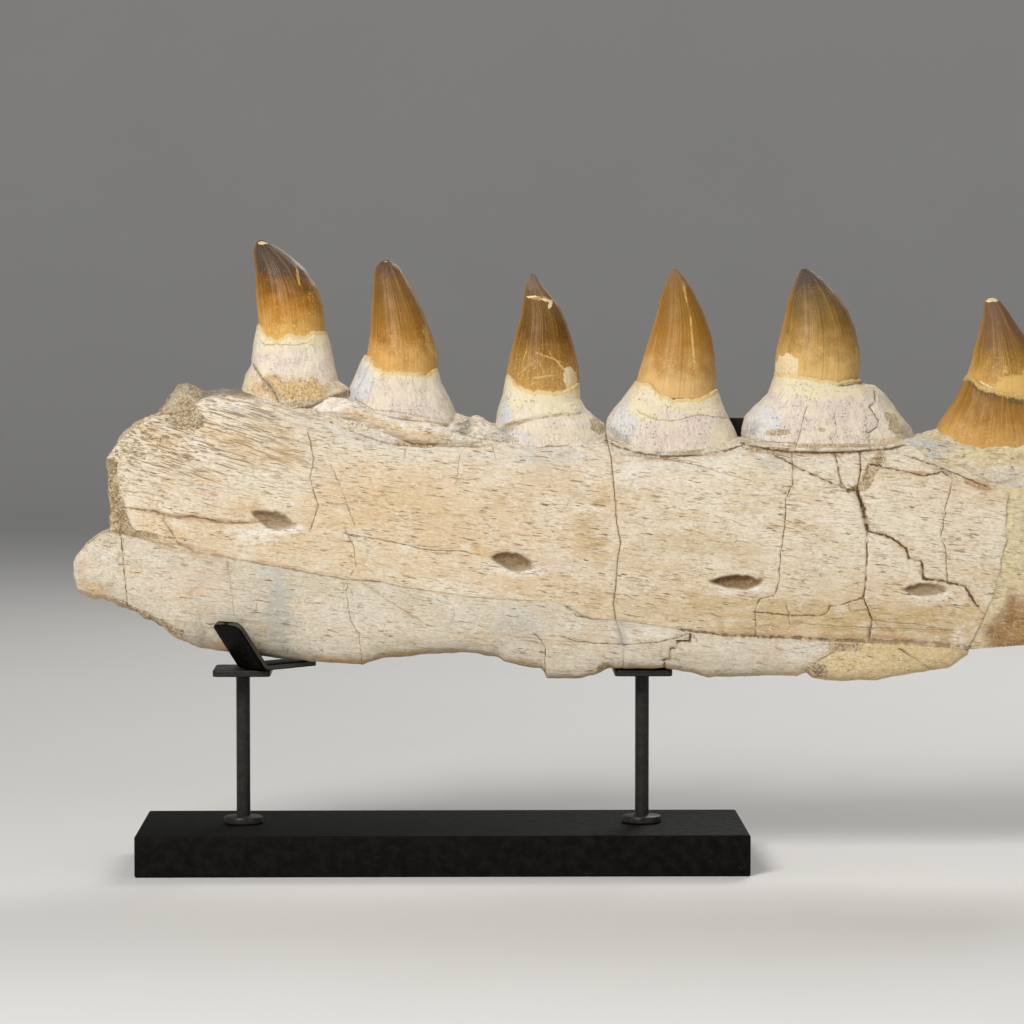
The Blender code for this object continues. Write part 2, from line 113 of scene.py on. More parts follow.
# ---------------------------------------------------------------- breaks, openings and stains
# A break in the bone, seen from the outer side: its half-width, its depth, how dark its filling is and
# its path as (x, height).
Break = namedtuple("Break", "half depth ink path")
MID_BREAK = [
    (4.6, 216), (6.9, 205), (8.4, 188), (9.4, 174), (11.4, 164), (9.9, 156), (8.9, 141), (7.7, 134),
    (8.9, 126), (11.9, 115.5), (12.9, 100),
]
FRONT_BREAK = [
    (131.0, 212), (131.5, 201), (129.6, 190), (130.6, 187), (132.6, 181), (134.9, 170.4), (134.4, 164),
    (134.4, 153), (133.8, 142.5), (132.6, 136.5), (137.1, 125.5), (135.6, 114),
]
BREAKS = [
    Break(0.34, 0.12, 0.50, MID_BREAK),
    Break(0.42, 0.8, 0.85, FRONT_BREAK),
    Break(1.0, 1.5, 1.0, FRONT_BREAK[2:6]),
    Break(0.26, 0.3, 0.75, [(-144.7, 219), (-141.7, 206), (-143.7, 197), (-139.7, 182), (-143.2, 171)]),
    Break(0.22, 0.3, 0.6, [(-133.3, 203), (-126.8, 187.6), (-121.3, 172.4)]),
    Break(0.62, 0.7, 0.72, [(-236, 181.4), (-221.5, 179.6), (-212, 176.6), (-203, 177.4), (-195, 175.9),
                            (-187, 173.9), (-174, 173.9), (-168, 175)]),
    Break(0.30, 0.4, 0.7, [(-217.5, 176), (-212.6, 169), (-209.6, 164.4), (-202, 160.4)]),
    Break(0.34, 0.6, 0.85, [(-239, 168), (-237.5, 158.7), (-236.5, 146.4), (-236, 132)]),
    Break(0.18, 0.2, 0.5, [(-185, 154.4), (-183, 140.5), (-182, 128)]),
    Break(0.24, 0.3, 0.62, [(-126.3, 171), (-122, 163), (-121, 152), (-124, 147), (-125.8, 140.5),
                            (-123.8, 126), (-119.3, 118), (-118, 103)]),
    Break(0.18, 0.2, 0.55, [(-117.8, 144), (-103, 134), (-88, 124.5)]),
    Break(0.22, 0.3, 0.75, [(-126, 169), (-100, 164), (-85, 160.4), (-67, 160), (-58, 157.5)]),
    Break(0.36, 0.5, 0.8, [(-16, 132.5), (-10.6, 127.7), (-3, 126)]),
    Break(0.26, 0.4, 0.8, [(97.2, 209), (97.2, 193), (93.7, 186), (93.2, 172), (91.2, 158), (90.2, 144.4),
                           (88.2, 137.5), (80.7, 136), (78.7, 130.5), (78.7, 117)]),
    Break(0.34, 0.5, 0.85, [(132.6, 136.5), (127, 134.5), (120.6, 132.6), (115.6, 132.5), (115, 129.5),
                            (111.4, 127.5), (94.4, 127.7), (78.7, 129.5)]),
    Break(0.62, 0.9, 1.0, [(135.6, 169.4), (142.5, 168), (147.5, 166), (154, 161), (155.5, 156),
                           (162.2, 154.4), (162.8, 146), (172, 144.6), (183.9, 142), (186.4, 137),
                           (190.2, 132)]),
    Break(0.28, 0.4, 0.75, [(177.5, 195), (173.8, 181), (171.5, 166.4), (173.8, 161), (174.3, 149),
                            (175.5, 144)]),
    Break(0.42, 0.6, 0.85, [(85, 209), (92, 206), (106.4, 198.3), (121, 192), (128, 190)]),
    Break(0.42, 0.6, 0.85, [(117, 209), (119.1, 206.3), (121.6, 193.8), (125.1, 189.3)]),
    Break(0.45, 0.7, 0.85, [(137, 203), (151.3, 199.8), (163.3, 197.3), (172, 199.3), (177.5, 196)]),
    Break(0.40, 0.5, 0.8, [(155, 207), (170, 202), (182, 197), (194, 192)]),
    Break(0.24, 0.3, 0.5, [(97, 124), (120, 122), (150, 121), (178, 120)]),
    Break(0.58, 0.8, 1.0, [(46.6, 120), (46.1, 114.8), (39.6, 114.8), (39.1, 111.5), (36.3, 111),
                            (36.3, 105), (33.1, 105), (33.5, 99)]),
    Break(0.24, 0.3, 0.8, [(-19, 117.5), (-11.6, 115), (-2, 113.7), (16.4, 113), (32.6, 114.8),
                           (46.6, 118.5)]),
    Break(0.26, 0.4, 0.8, [(-31.5, 118), (-28.5, 115.5), (-26.5, 112), (-27, 98)]),
    Break(0.22, 0.3, 0.8, [(150, 111), (160, 105), (166, 101)]),
    Break(0.45, 0.8, 0.6, [(-100, 215), (-88, 213.2), (-73, 212), (-56, 212)]),
    # Along the seam between the two bones: brown matrix in the seam, and painted shadow of the step between
    # the bones.
    Break(0.85, 0.2, 0.50, SEAM[4:9]),
    Break(0.34, 0.2, 0.65, SEAM[8:13]),
    Break(0.20, 0.3, 0.40, SEAM[12:16]),
    Break(0.24, 0.1, 0.45, SEAM[16:20]),
    Break(0.80, 0.5, 0.80, [(42, 120.4), (63, 117.8), (98, 116.4), (114, 115.4)]),
    Break(1.35, 0.4, 0.66, [(113, 115.6), (130, 114.6), (157, 113.8), (172, 112.2), (186, 110.8)]),
    Break(0.24, 0.3, 0.7, [(94, 133), (95.4, 127.5), (95.9, 122.6)]),
    Break(0.22, 0.3, 0.6, [(79, 121.5), (86, 123), (90, 121.8)]),
    Break(0.26, 0.3, 0.6, [(125.5, 132.5), (126, 129.6), (137, 130.6)]),
    Break(0.22, 0.3, 0.6, [(137.3, 125.4), (150, 123.8), (163, 122.6), (176, 119.6)]),
    Break(0.20, 0.3, 0.5, [(-53, 213), (-51, 206)]),
    Break(0.22, 0.3, 0.6, [(-96, 211.5), (-96.6, 206)]),
    Break(0.26, 0.3, 0.6, [(-74, 196.6), (-66, 195.4), (-60, 195.6)]),
    Break(0.22, 0.3, 0.5, [(-69, 208), (-70, 200), (-71, 192)]),
    Break(0.18, 0.2, 0.5, [(93, 176), (97, 173.6), (103, 171.6)]),
    Break(0.5, 0.5, 0.80, [(4, 215), (10.6, 211.4), (18.6, 209), (32, 207), (48, 207.4), (62.5, 209.4),
                           (72, 212.4)]),
    Break(0.7, 0.6, 0.9, [(73, 213.4), (86, 210.2), (101, 209), (126, 209), (148, 211), (160, 215)]),
    Break(0.35, 0.4, 0.6, [(104, 99.5), (108, 103), (112, 106), (118, 109), (121, 113)]),
    Break(0.30, 0.4, 0.60, [(-127, 221.4), (-118, 217.5), (-108, 214.4), (-99, 212.6)]),
    Break(0.26, 0.3, 0.50, [(-240, 190), (-226, 189), (-214, 186)]),
    Break(0.22, 0.3, 0.50, [(12, 208), (32, 205.6), (46, 203.5), (62, 199), (76, 195)]),
]

# An opening for nerves: its middle, half-sizes, slope in degrees and depth. It narrows towards -X.
Opening = namedtuple("Opening", "x z half_x half_z slope depth")
OPENINGS = [
    Opening(-163, 175.6, 11.6, 5.0, -14, 2.2),
    Opening(-43, 154.6, 12.6, 5.2, -8, 2.4),
    Opening(69, 144.2, 14.6, 4.0, 1, 2.6),
    Opening(163, 140.3, 12.6, 3.6, 3, 2.0),
]

# Stains and patches of each kind: middle, half-sizes, slope in degrees and strength.
Patch = namedtuple("Patch", "x z half_x half_z slope strength")
JAW_PATCHES = {
    "warm": [
        (-184, 216, 24, 8, -24, 0.75), (-158, 207, 15, 5, -15, 0.65), (-214, 213, 14, 4, -12, 0.7),
        (-196, 196, 14, 3, -10, 0.5), (-175, 182, 10, 4, -8, 0.6), (-214, 168, 15, 5, -10, 0.5),
        (-130, 228, 13, 4, -18, 0.8), (-93, 217, 16, 4.5, -6, 1), (-67, 190, 12, 5, -8, 0.5),
        (-83, 170, 7, 2, -10, 0.6), (-105, 158, 9, 5, -10, 0.5), (-57, 160, 9, 3.2, -14, 1),
        (22, 198, 3, 2, 0, 0.8), (48, 179, 5.5, 2, -8, 0.6), (165, 126, 8, 3, 0, 0.6),
        (12, 206, 4, 3, 0, 0.5), (-26, 168, 40, 12, -4, 0.3), (10, 213.5, 17, 1.8, 6, 0.9),
        (-92, 182, 66, 30, -8, 0.55), (-140, 160, 60, 9, -9, 0.5), (-60, 148, 60, 8, -10, 0.4),
        (-222, 173, 12, 7, -14, 0.5),
    ],
    "tan": [
        (3, 184, 5, 3, 0, 0.8), (0, 164, 6, 4, 0, 1), (0, 155, 5, 6, 0, 0.7), (52, 163, 36, 9, -4, 0.6),
        (92, 129, 62, 13, -3, 0.9), (150, 125, 60, 12, 0, 1.1), (30, 130, 60, 12, -5, 0.6),
        (120, 120, 90, 9, 0, 1), (-6, 168, 8, 14, 0, 0.7),
    ],
    "pale": [
        (-187, 233, 16, 5, -6, 1), (-198, 210, 17, 8, -8, 0.7), (-172, 167.5, 14, 4.5, -8, 1.2),
        (-50, 151.5, 12, 4, -14, 0.9), (68, 139, 13.5, 2.6, 0, 1.1), (168, 135, 15, 3.2, 2, 1.1),
        (32, 202, 42, 12, 0, 0.9), (112, 203, 22, 8, 0, 0.7), (160, 180, 26, 22, 0, 0.4),
        (-109, 214, 25, 4, -10, 0.7), (-184, 223, 17, 5, -6, 0.6), (110, 172, 80, 32, 0, 0.32),
        (-196, 232, 14, 3, -8, 0.9),
    ],
    "blue": [
        (-172, 228, 20, 3.4, -10, 0.8), (-113, 216, 22, 3.4, -12, 0.9), (-24, 207, 22, 7, 0, 0.75),
        (24, 208, 26, 3, 0, 0.6), (88, 205, 12, 5, 0, 0.8), (176, 206, 30, 7, -4, 0.5),
        (-214, 224, 12, 3, 20, 0.5),
    ],
    "pink": [
        (-193, 188.5, 9, 3.8, -10, 1), (-211, 202, 7, 4, 0, 0.7), (-22, 194, 12, 6, 0, 0.6),
        (-23, 153, 12, 5, 0, 0.6), (-76, 196, 14, 7, 0, 0.35), (192, 193.5, 7, 2.4, -12, 1.3),
    ],
    "rock": [
        (-209, 231, 15, 8.5, -35, 1.5), (-232, 209, 10, 3, -10, 0.6), (-221, 216, 9, 1.6, -10, 0.9),
        # The strip at (-90, 212.8) is painted shadow under the first ledge's right end; the others are
        # rock.
        (-206, 207, 14, 1.1, -14, 0.7), (-90, 212.8, 12, 1.4, -4, 1.3), (84, 210.8, 16, 1.3, 0, 1.1),
        (33, 207, 3.5, 1.4, 0, 1.2), (126, 114.8, 12, 1.6, 0, 1.1), (-226, 168.6, 18, 1.8, -8, 1),
    ],
    "rust": [
        (191, 192.5, 9, 2.4, -14, 1.3), (160, 198.6, 14, 1.6, -4, 0.9), (40, 206.4, 30, 1.4, 4, 0.6),
        (110, 209, 44, 1.6, 0, 0.9), (150, 115.4, 34, 1.8, -4, 0.9), (-205, 177, 26, 1.6, -6, 0.8),
        (-208, 163.2, 30, 1.5, -12, 0.9), (-150, 151.6, 30, 0.9, -11, 0.6), (70, 118.6, 30, 1.2, -2, 0.7),
    ],
    # grey: painted shade on the jaw's top just behind the crest
    "grey": [(-188, 240.2, 15, 3.4, 0, 1.5)],
}
LOW_PATCHES = {
    "pink": [
        (-257, 153, 5, 9, 0, 0.8), (-218, 145, 11, 6, 0, 0.5), (-206, 146, 22, 8, 0, 0.7),
        (84, 109, 14, 5, 0, 0.7), (3, 104, 6, 3, 0, 0.5),
    ],
    "warm": [
        (-206, 138, 10, 4, 8, 0.5), (-233, 150, 9, 3, 0, 0.3), (-196, 131, 9, 3, 0, 0.35),
        (-162, 121, 9, 3, 0, 0.9), (-186, 112, 20, 3.4, 4, 0.8), (-130, 104.5, 26, 2.6, 0, 0.9),
        (-90, 108.5, 20, 2, 0, 0.8), (-38, 103.5, 10, 3, -8, 0.8), (4, 101, 12, 2.5, 0, 0.8),
        (-30, 116, 60, 5, 0, 0.3), (-252, 140, 10, 4, -20, 0.7),
    ],
    "blue": [
        (-38, 122, 18, 12, 0, 0.8), (-160, 131, 8.5, 27, 0, 1.7), (-168, 145, 12, 4, 0, 0.5),
        (11.5, 119, 3.4, 9, 0, 2), (101, 110, 9, 5, 0, 0.5),
    ],
    "pale": [(100, 109, 9, 6, 0, 0.9), (20, 118, 18, 4, 0, 0.6), (100, 111, 12, 5, 0, 1)],
    "tan": [(113, 98, 10, 7, -20, 1.4)],
    "rock": [
        (3, 100.5, 6, 4, -10, 1.2), (-224, 125.5, 24, 3.4, -24, 1.5), (124, 111.6, 12, 2.6, 0, 1.4),
        (111, 99, 5, 5, -20, 1),
    ],
    "rust": [(150, 112.6, 40, 1.6, -4, 0.9), (-208, 159.6, 30, 1, -12, 0.6)],
}
LEDGE_PATCHES = {
    "warm": [(-112, 224.5, 26, 3, -20, 1), (-89, 217, 15, 2.6, -8, 1.2)],
    # rock: painted shadow along the lower edge of the first ledge's right end
    "rock": [(-91, 212.8, 14, 2, -6, 1.2)],
    "rust": [(-96, 216.4, 14, 1.2, -12, 0.7)],
    "pale": [
        (-134, 232, 12, 6, 0, 1.5), (-108, 228.5, 22, 3, -20, 1.5), (-76, 221, 16, 3, -10, 1.4),
        (-112, 220.5, 18, 2.2, -18, 1.2), (-66, 216, 8, 3, 0, 0.8), (-57, 221, 7, 7, 0, 1),
        (166, 206, 16, 5, 0, 0.9), (206, 200, 10, 6, 0, 0.6),
    ],
    # grey: painted shadow in the notch between the second tooth's foot and the chunk of the second ledge
    "grey": [(-67.4, 223.5, 4.4, 5.5, 10, 2), (-67, 224, 6, 3.4, 0, 0.8)],
    "blue": [(-47, 217, 9, 4, 0, 1.5), (160, 211, 21, 9, 0, 1.5), (200, 196, 18, 6, 0, 0.7)],
    "filler": [(200, 207, 27, 7, -2, 1.3), (232, 204, 24, 12, 0, 1)],
}
KINDS = ("warm", "pale", "blue", "pink", "tan", "rust", "grey", "rock", "filler", "bare", "crust")

REAR_PLUG = [  # rock behind this
    (-240.5, 204), (-239.5, 193), (-236.5, 181), (-232.5, 173), (-228.5, 166),
]
FRONT_SHEET = [  # plaster in front of this
    (205.4, 214), (205.4, 188), (203.9, 166), (201.6, 150), (197.3, 136), (193.5, 126), (186, 112),
]
INNER_BONE = [  # brown bone below this
    (187, 108), (190, 117), (198, 126), (207, 139), (222, 134), (240, 124), (264, 110),
]
PLASTER_FLOOR = [  # plaster above this
    (150, 218), (165, 206.5), (178, 201.5), (188, 197), (197, 192.5), (206, 187.5), (264, 187.5),
]
PLASTER_END = 234.0
WEDGE = [(141.5, 206.5), (136, 199.5), (132, 192), (125, 190.4)]  # rock wedged in the front break
WEDGE_HALF = [(124, 0.7), (131, 2.0), (136, 3.3), (142, 3.0)]
FRONT_END = [
    (258, 216), (262, 204), (259, 192), (263.5, 176), (260, 160), (263, 142), (257, 128), (254, 112),
]

# ---------------------------------------------------------------- teeth
# One tooth, from the outer side, as (x, height): both edges of its crown up to the tip, the line where
# the enamel begins, both edges of the root, and the line where the root meets the jaw.
Tooth = namedtuple("Tooth", "left right neck root_left root_right foot")
TEETH = [
    Tooth(
        [(-169.8, 262), (-169.8, 274), (-170.8, 284), (-171.8, 300), (-172.8, 310), (-171.6, 314)],
        [(-137, 262), (-137, 270), (-137.5, 276), (-138.2, 283), (-141, 291.7), (-147, 301),
         (-154.3, 307.3), (-161.7, 312.4), (-166.5, 314.6)],
        [(-169.8, 273), (-166.7, 268), (-160.7, 265), (-155, 268.5), (-147, 267), (-142, 269.5),
         (-137, 269.5)],
        [(-180, 235), (-177.8, 242), (-176.8, 247), (-173.8, 252.3), (-172.8, 262), (-170.6, 274)],
        [(-124, 240), (-130, 244.2), (-131.7, 252.3), (-133.9, 262), (-136.2, 270)],
        [(-180, 236), (-168, 233), (-154, 231), (-142, 233), (-130, 238.4), (-124, 240)],
    ),
    Tooth(
        [(-115.6, 248), (-115.3, 258), (-113.7, 269), (-113.2, 280), (-112.5, 290), (-111.7, 300),
         (-110.2, 304)],
        [(-80.6, 240), (-80.6, 249.5), (-79.9, 257), (-83.5, 269), (-88, 280.6), (-93, 290.7), (-98.3, 300),
         (-102, 304.6)],
        [(-115.3, 258), (-111.7, 251.6), (-103.6, 249.5), (-93, 249), (-85, 248), (-80.6, 251)],
        [(-125, 232), (-124.5, 241), (-122.3, 246), (-118.8, 254), (-115.9, 259.5)],
        [(-70.5, 226), (-73.6, 234), (-77.9, 243), (-80.2, 251)],
        [(-125, 234), (-116, 230), (-103, 227), (-91, 225), (-82, 223), (-71, 222)],
    ),
    Tooth(
        [(-45.2, 238), (-45.1, 248), (-44.1, 255), (-41.6, 264), (-38, 277.3), (-36.7, 285.6),
         (-35.5, 292.7), (-33.5, 297)],
        [(-8.7, 236), (-8.7, 243), (-9.3, 251.6), (-11.8, 262), (-15.3, 274.2), (-18.8, 281.6),
         (-24, 288.7), (-28.4, 294), (-31, 297.6)],
        [(-45.1, 248), (-40.5, 242.2), (-32.5, 239.7), (-17.8, 239.2), (-8.9, 243.2)],
        [(-53, 218), (-51, 223), (-49.8, 230), (-46.9, 239), (-45.6, 248.5)],
        [(5, 218), (3.6, 223), (-0.4, 226.3), (-4.7, 230), (-8.2, 235.5), (-8.2, 244)],
        [(-56, 217), (-44, 213.4), (-29, 211.8), (-11, 213), (5, 216)],
    ),
    Tooth(
        [(19.5, 236), (20.5, 243.4), (22, 250), (25.6, 262), (29.9, 275.5), (32.9, 287.6), (36.2, 296),
         (38.4, 300)],
        [(59.9, 232), (59.9, 240), (59.9, 249), (59.2, 259), (57.2, 269), (53.3, 280.6), (48.3, 290.7),
         (43.7, 297.6), (41.4, 300.2)],
        [(20.3, 244.2), (26.6, 243.2), (30.9, 238.2), (38.2, 235.7), (53.3, 236.2), (60, 240.2)],
        [(3.5, 212), (4.4, 221), (5.6, 226), (9.4, 231), (14.5, 237.2), (20.0, 244.8)],
        [(72.5, 212), (69, 221), (67, 225), (62.9, 234), (60.4, 241)],
        [(3, 216), (10.6, 212), (18.6, 209.6), (32, 207.6), (48, 208), (62.5, 210), (72, 213)],
    ),
    Tooth(
        [(90, 238), (90.2, 246), (90.4, 254), (91.2, 260), (94.7, 273.3), (96.7, 283.6), (100.3, 293.7),
         (102.6, 298.6)],
        [(131.2, 236), (131.6, 244), (132.9, 253), (132.4, 261), (130.3, 271), (126.5, 280.6),
         (121.5, 287.6), (114.4, 295.5), (108.4, 300.4)],
        [(90.2, 248.6), (100.6, 247.6), (110.4, 245.6), (120.5, 244.5), (131.9, 245.5)],
        [(73.5, 212), (73.6, 220), (75.4, 226.4), (79.3, 231), (86.7, 238.2), (89.6, 246), (89.9, 249)],
        [(161, 214), (158.5, 221), (152.3, 229), (146.2, 237.2), (140.2, 242), (134, 243), (132.4, 246)],
        [(73, 214), (86, 211), (101, 210), (126, 210), (148, 212), (161, 216)],
    ),
    Tooth(
        [(187, 238), (187.6, 247), (189, 251.3), (190.2, 255), (190.8, 259.4), (192.4, 264.4), (194.2, 271),
         (195.5, 276.5), (196.2, 283.6), (197, 286)],
        [(227, 236), (226.5, 243.2), (225.5, 250), (222.9, 257), (219.4, 263), (215.9, 268.2),
         (213.4, 271.5), (210.8, 275.5), (208.3, 279.6), (205.1, 284), (203.8, 286)],
        [(187.3, 247), (192.2, 242.5), (197.7, 240.5), (208.8, 238), (219, 237.4), (227, 242)],
        [(170, 216), (173.5, 223), (177.3, 229), (180.8, 234), (184, 240.7), (187, 247.8)],
        [(243, 216), (237, 224.6), (232.5, 230.6), (229, 236.7), (227.3, 242.6)],
        [(170, 219), (174.5, 216.6), (180, 213.4), (187.5, 211), (199, 210), (209, 211.6), (224, 213),
         (243, 218)],
    ),
]
CROWN_MESH = (150, 200)  # rows and columns
ROOT_MESH = (130, 220)
CROWN_DEPTH = 0.82  # width across the jaw over width along it
CROWN_INWARD = 6.0  # the tips curve to the inner side
CROWN_BELOW = 3.0  # how far a crown goes down inside its root's collar
CROWN_ABOVE = 0.7  # how far its rounded tip passes the last points of its edges
EDGE_PROUD, EDGE_SPREAD = 0.035, 0.16  # the two cutting edges of a crown
FACETS = 7
ROOT_PROUD = (0.35, 0.35, 0.35, 0.9, 1.1, 0.35)  # how far each root's foot stands out from the jaw
ROOT_SUNK = 7.0  # how far a root goes down into the jaw
ROOT_SWELL = 1.6
COLLAR = 0.4  # how far a root's collar stands out from its crown
COLLAR_DIP = 2.2  # how far its closed top dips inside the collar
LUMP_RIDGE = [
    (-223, 227), (-220.5, 234), (-216, 239.5), (-211, 243.4), (-206, 243), (-202, 241), (-196, 239.6),
    (-189, 238.4),
]
LUMP_HALF = 15.5
LUMP_SUNK = 10  # how far the lump goes down into the bone

# A ledge of plaster and rock along the jaw's rim: its spine, its half-height and how far out its middle
# lies, each as (x, value).
Ledge = namedtuple("Ledge", "spine half out")
LEDGES = [
    Ledge([(-145, 231), (-140, 231.2), (-134, 232), (-124, 230), (-112, 224.8), (-101, 221.4), (-90, 219),
           (-79, 217.6), (-70, 216), (-62, 214.8), (-54, 214)],
          [(-145, 0.8), (-140, 3.2), (-134, 4.9), (-124, 5.0), (-112, 4.5), (-101, 5.5), (-90, 6.0),
           (-79, 5.6), (-70, 3.8), (-62, 2.0), (-54, 0.6)],
          [(-145, 13.2), (-130, 14.6), (-112, 15.8), (-98, 16.8), (-79, 17.0), (-62, 15.6), (-54, 14.0)]),
    Ledge([(-76, 220), (-68, 221), (-62, 221), (-57, 219.7), (-52, 217.7), (-46, 216), (-38, 214.5)],
          [(-76, 1.4), (-70, 3.0), (-66, 3.4), (-62, 6.4), (-57, 6.0), (-52, 4.2), (-46, 3.0), (-38, 0.8)],
          [(-76, 13.0), (-60, 15.4), (-38, 14.0)]),
    Ledge([(150, 213), (164, 210.5), (175, 207.5), (188, 204), (197, 201.8), (205, 200), (225, 200.5),
           (247, 203)],
          [(150, 2.4), (164, 5.5), (175, 6.2), (188, 8.2), (197, 10.2), (205, 12.2), (225, 11.6),
           (240, 8.0), (247, 4.0)],
          [(150, 13.5), (166, 15.5), (188, 17.6), (205, 18.4), (214, 17.8), (232, 14.5), (247, 9)]),
]
LEDGE_DEPTH = 5.5

# ---------------------------------------------------------------- stand
BASE_EDGE = 1.1
ROD_RADIUS = 3.5
PLATE = 3.2
PLATE_EDGE = 0.5
PLATE_SHARP = math.radians(32)  # edges of the stand's pieces stay sharp from this angle
CLIP_WIDTH = 19.0
CLIP_BEND = (-171.5, -15.2)
CLIP_HEADING = math.radians(42.0)
CLIP_SLOPE = math.radians(40.0)
CLIP_FOOT = 34.0
CLIP_ARM = 28.0
CLIP_CORNER = 3.6
CLIP_INNER_BEND = 2.0


# ================================================================ numbers
def line(points, x):
    """Height at x of the line through the points."""
    return np.interp(x, [point[0] for point in points], [point[1] for point in points])


def soft_line(points, x, reach):
    """The same line with its corners rounded over a reach either side."""
    return sum(line(points, x + reach * share) for share in (-1.0, -0.5, 0.0, 0.5, 1.0)) / 5


def flip(points):
    """Points as (height, x), for reading an edge by height."""
    return [(height, x) for x, height in points]


def across(points, z):
    """x of a path that runs up or down, at height z."""
    return line(sorted(flip(points)), z)


def fade(value, low, high):
    """0 below low and 1 above high, with a smooth rise between; high may be the lower one."""
    share = np.clip((value - low) / (high - low), 0.0, 1.0)
    return share * share * (3.0 - 2.0 * share)


def lattice(cells, seed):
    """A repeatable value from 0 to 1 for each whole-number cell."""
    mixed = cells[..., 0] * 374761393 + cells[..., 1] * 668265263 + cells[..., 2] * 1103515245
    mixed = mixed + seed * 97531
    mixed = (mixed ^ (mixed >> 13)) * 1274126177
    mixed = mixed ^ (mixed >> 16)
    return (mixed & 0xFFFF) / 65535.0


def bumps(points, size, seed=0):
    """Smooth values from -1 to 1, whose hills are about size apart along each axis."""
    place = points / np.asarray(size, float)
    low = np.floor(place).astype(np.int64)
    part = place - low
    part = part * part * (3.0 - 2.0 * part)
    total = np.zeros(len(points))
    for corner in itertools.product((0, 1), repeat=3):
        weight = np.prod(np.where(corner, part, 1.0 - part), axis=1)
        total += weight * lattice(low + np.array(corner), seed)
    return total * 2.0 - 1.0


def rough(points, size, seed=0, layers=3):
    """Bumps with finer ones on top."""
    total = np.zeros(len(points))
    for layer in range(layers):
        total += bumps(points, np.asarray(size, float) / 2 ** layer, seed + layer) / 2 ** layer
    return total


def squarish(wave, power):
    """A wave from -1 to 1, made squarer by a power below 1."""
    return np.sign(wave) * np.abs(wave) ** power


def from_path(x, z, path):
    """Distance of each point from a path, below 0 on its right-hand side."""
    best = np.full(len(x), 1e9)
    signed = np.full(len(x), 1e9)
    for (x0, z0), (x1, z1) in zip(path, path[1:]):
        run, rise = x1 - x0, z1 - z0
        share = np.clip(((x - x0) * run + (z - z0) * rise) / (run * run + rise * rise), 0.0, 1.0)
        off_x, off_z = x - x0 - run * share, z - z0 - rise * share
        distance = np.hypot(off_x, off_z)
        nearer = distance < best
        best = np.where(nearer, distance, best)
        side = np.where(run * off_z - rise * off_x < 0, -1.0, 1.0)
        signed = np.where(nearer, distance * side, signed)
    return signed


def oval_reach(x, z, spot):
    """How far each point lies from a spot's middle, over its half-sizes, along it and up it."""
    turn = math.radians(spot.slope)
    off_x, off_z = x - spot.x, z - spot.z
    over = (off_x * math.cos(turn) + off_z * math.sin(turn)) / spot.half_x
    up = (off_z * math.cos(turn) - off_x * math.sin(turn)) / spot.half_z
    return over, up


# ================================================================ meshes
def read_values(items, name, width):
    """One property of a mesh's points, with a row of width numbers for each."""
    flat = np.empty(len(items) * width, np.float32)
    items.foreach_get(name, flat)
    return flat.reshape(-1, width).astype(float)


def read_points(mesh):
    return read_values(mesh.vertices, "co", 3)


def read_mask(mesh, name):
    return read_values(mesh.attributes[name].data, "value", 1)[:, 0]


def write_points(mesh, points):
    mesh.vertices.foreach_set("co", np.ascontiguousarray(points, np.float32).ravel())
    mesh.update()


def new_object(name, data):
    made = bpy.data.objects.new(name, data)
    bpy.context.collection.objects.link(made)
    return made


def finish_piece(name, mesh, finish, nodes, sharp=None):
    """Make a mesh a piece of the model; its edges stay sharp from an angle, where one is given."""
    mesh.materials.append(finish)
    mesh.shade_smooth()
    if sharp is not None:
        mesh.set_sharp_from_angle(angle=sharp)
    piece = new_object(name, mesh)
    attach(piece, "root")
    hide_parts(*nodes)


def write_mask(mesh, name, values):
    layer = mesh.attributes.new(name, "FLOAT", "POINT")
    layer.data.foreach_set("value", values.astype(np.float32))


def mesh_of(name, bm):
    """A mesh with the bmesh's content, which is let go."""
    mesh = bpy.data.meshes.new(name)
    bm.to_mesh(mesh)
    bm.free()
    return mesh


def mesh_from_mm(name, bm):
    """A mesh from a bmesh in millimetres, with its faces turned outwards."""
    bmesh.ops.scale(bm, vec=(MM, MM, MM), verts=bm.verts)
    bmesh.ops.recalc_face_normals(bm, faces=bm.faces)
    return mesh_of(name, bm)


def join_up(mesh):
    """Merge the sheet's edges where they meet and turn its faces outwards."""
    bm = bmesh.new()
    bm.from_mesh(mesh)
    rim = [point for point in bm.verts if point.is_boundary]
    bmesh.ops.remove_doubles(bm, verts=rim, dist=1e-6)
    bmesh.ops.recalc_face_normals(bm, faces=bm.faces)
    bm.to_mesh(mesh)
    bm.free()


def closed_skin(name, rows, columns, shape, finish, slot, nodes, relief, marks=None, hold=None, sharp=None):
    """A closed piece: a sheet of rows and columns is wrapped onto a shape and joined up.

    shape gives x, y and z for shares along and round the piece, relief how far each point stands out,
    marks the named masks that the finish reads, and hold how freely a point may move along each axis.
    Edges stay sharp from the sharp angle.
    """
    bm = bmesh.new()
    bmesh.ops.create_grid(bm, x_segments=columns, y_segments=rows, size=1.0)
    mesh = mesh_of(name, bm)
    sheet = read_points(mesh)
    write_mask(mesh, "turn", (sheet[:, 0] + 1) / 2)
    write_mask(mesh, "along", (sheet[:, 1] + 1) / 2)
    write_points(mesh, np.stack(shape(read_mask(mesh, "along"), read_mask(mesh, "turn")), axis=1) * MM)
    join_up(mesh)
    along, turn = read_mask(mesh, "along"), read_mask(mesh, "turn")
    points = read_points(mesh) / MM
    way = read_values(mesh.vertex_normals, "vector", 3)
    if hold is not None:
        way *= hold(points)
    write_points(mesh, (points + way * relief(points, along, turn)[:, None]) * MM)
    if marks is not None:
        for kind, values in marks(points, along, turn).items():
            write_mask(mesh, kind, values)
    finish_piece(name, mesh, finish, nodes, sharp)


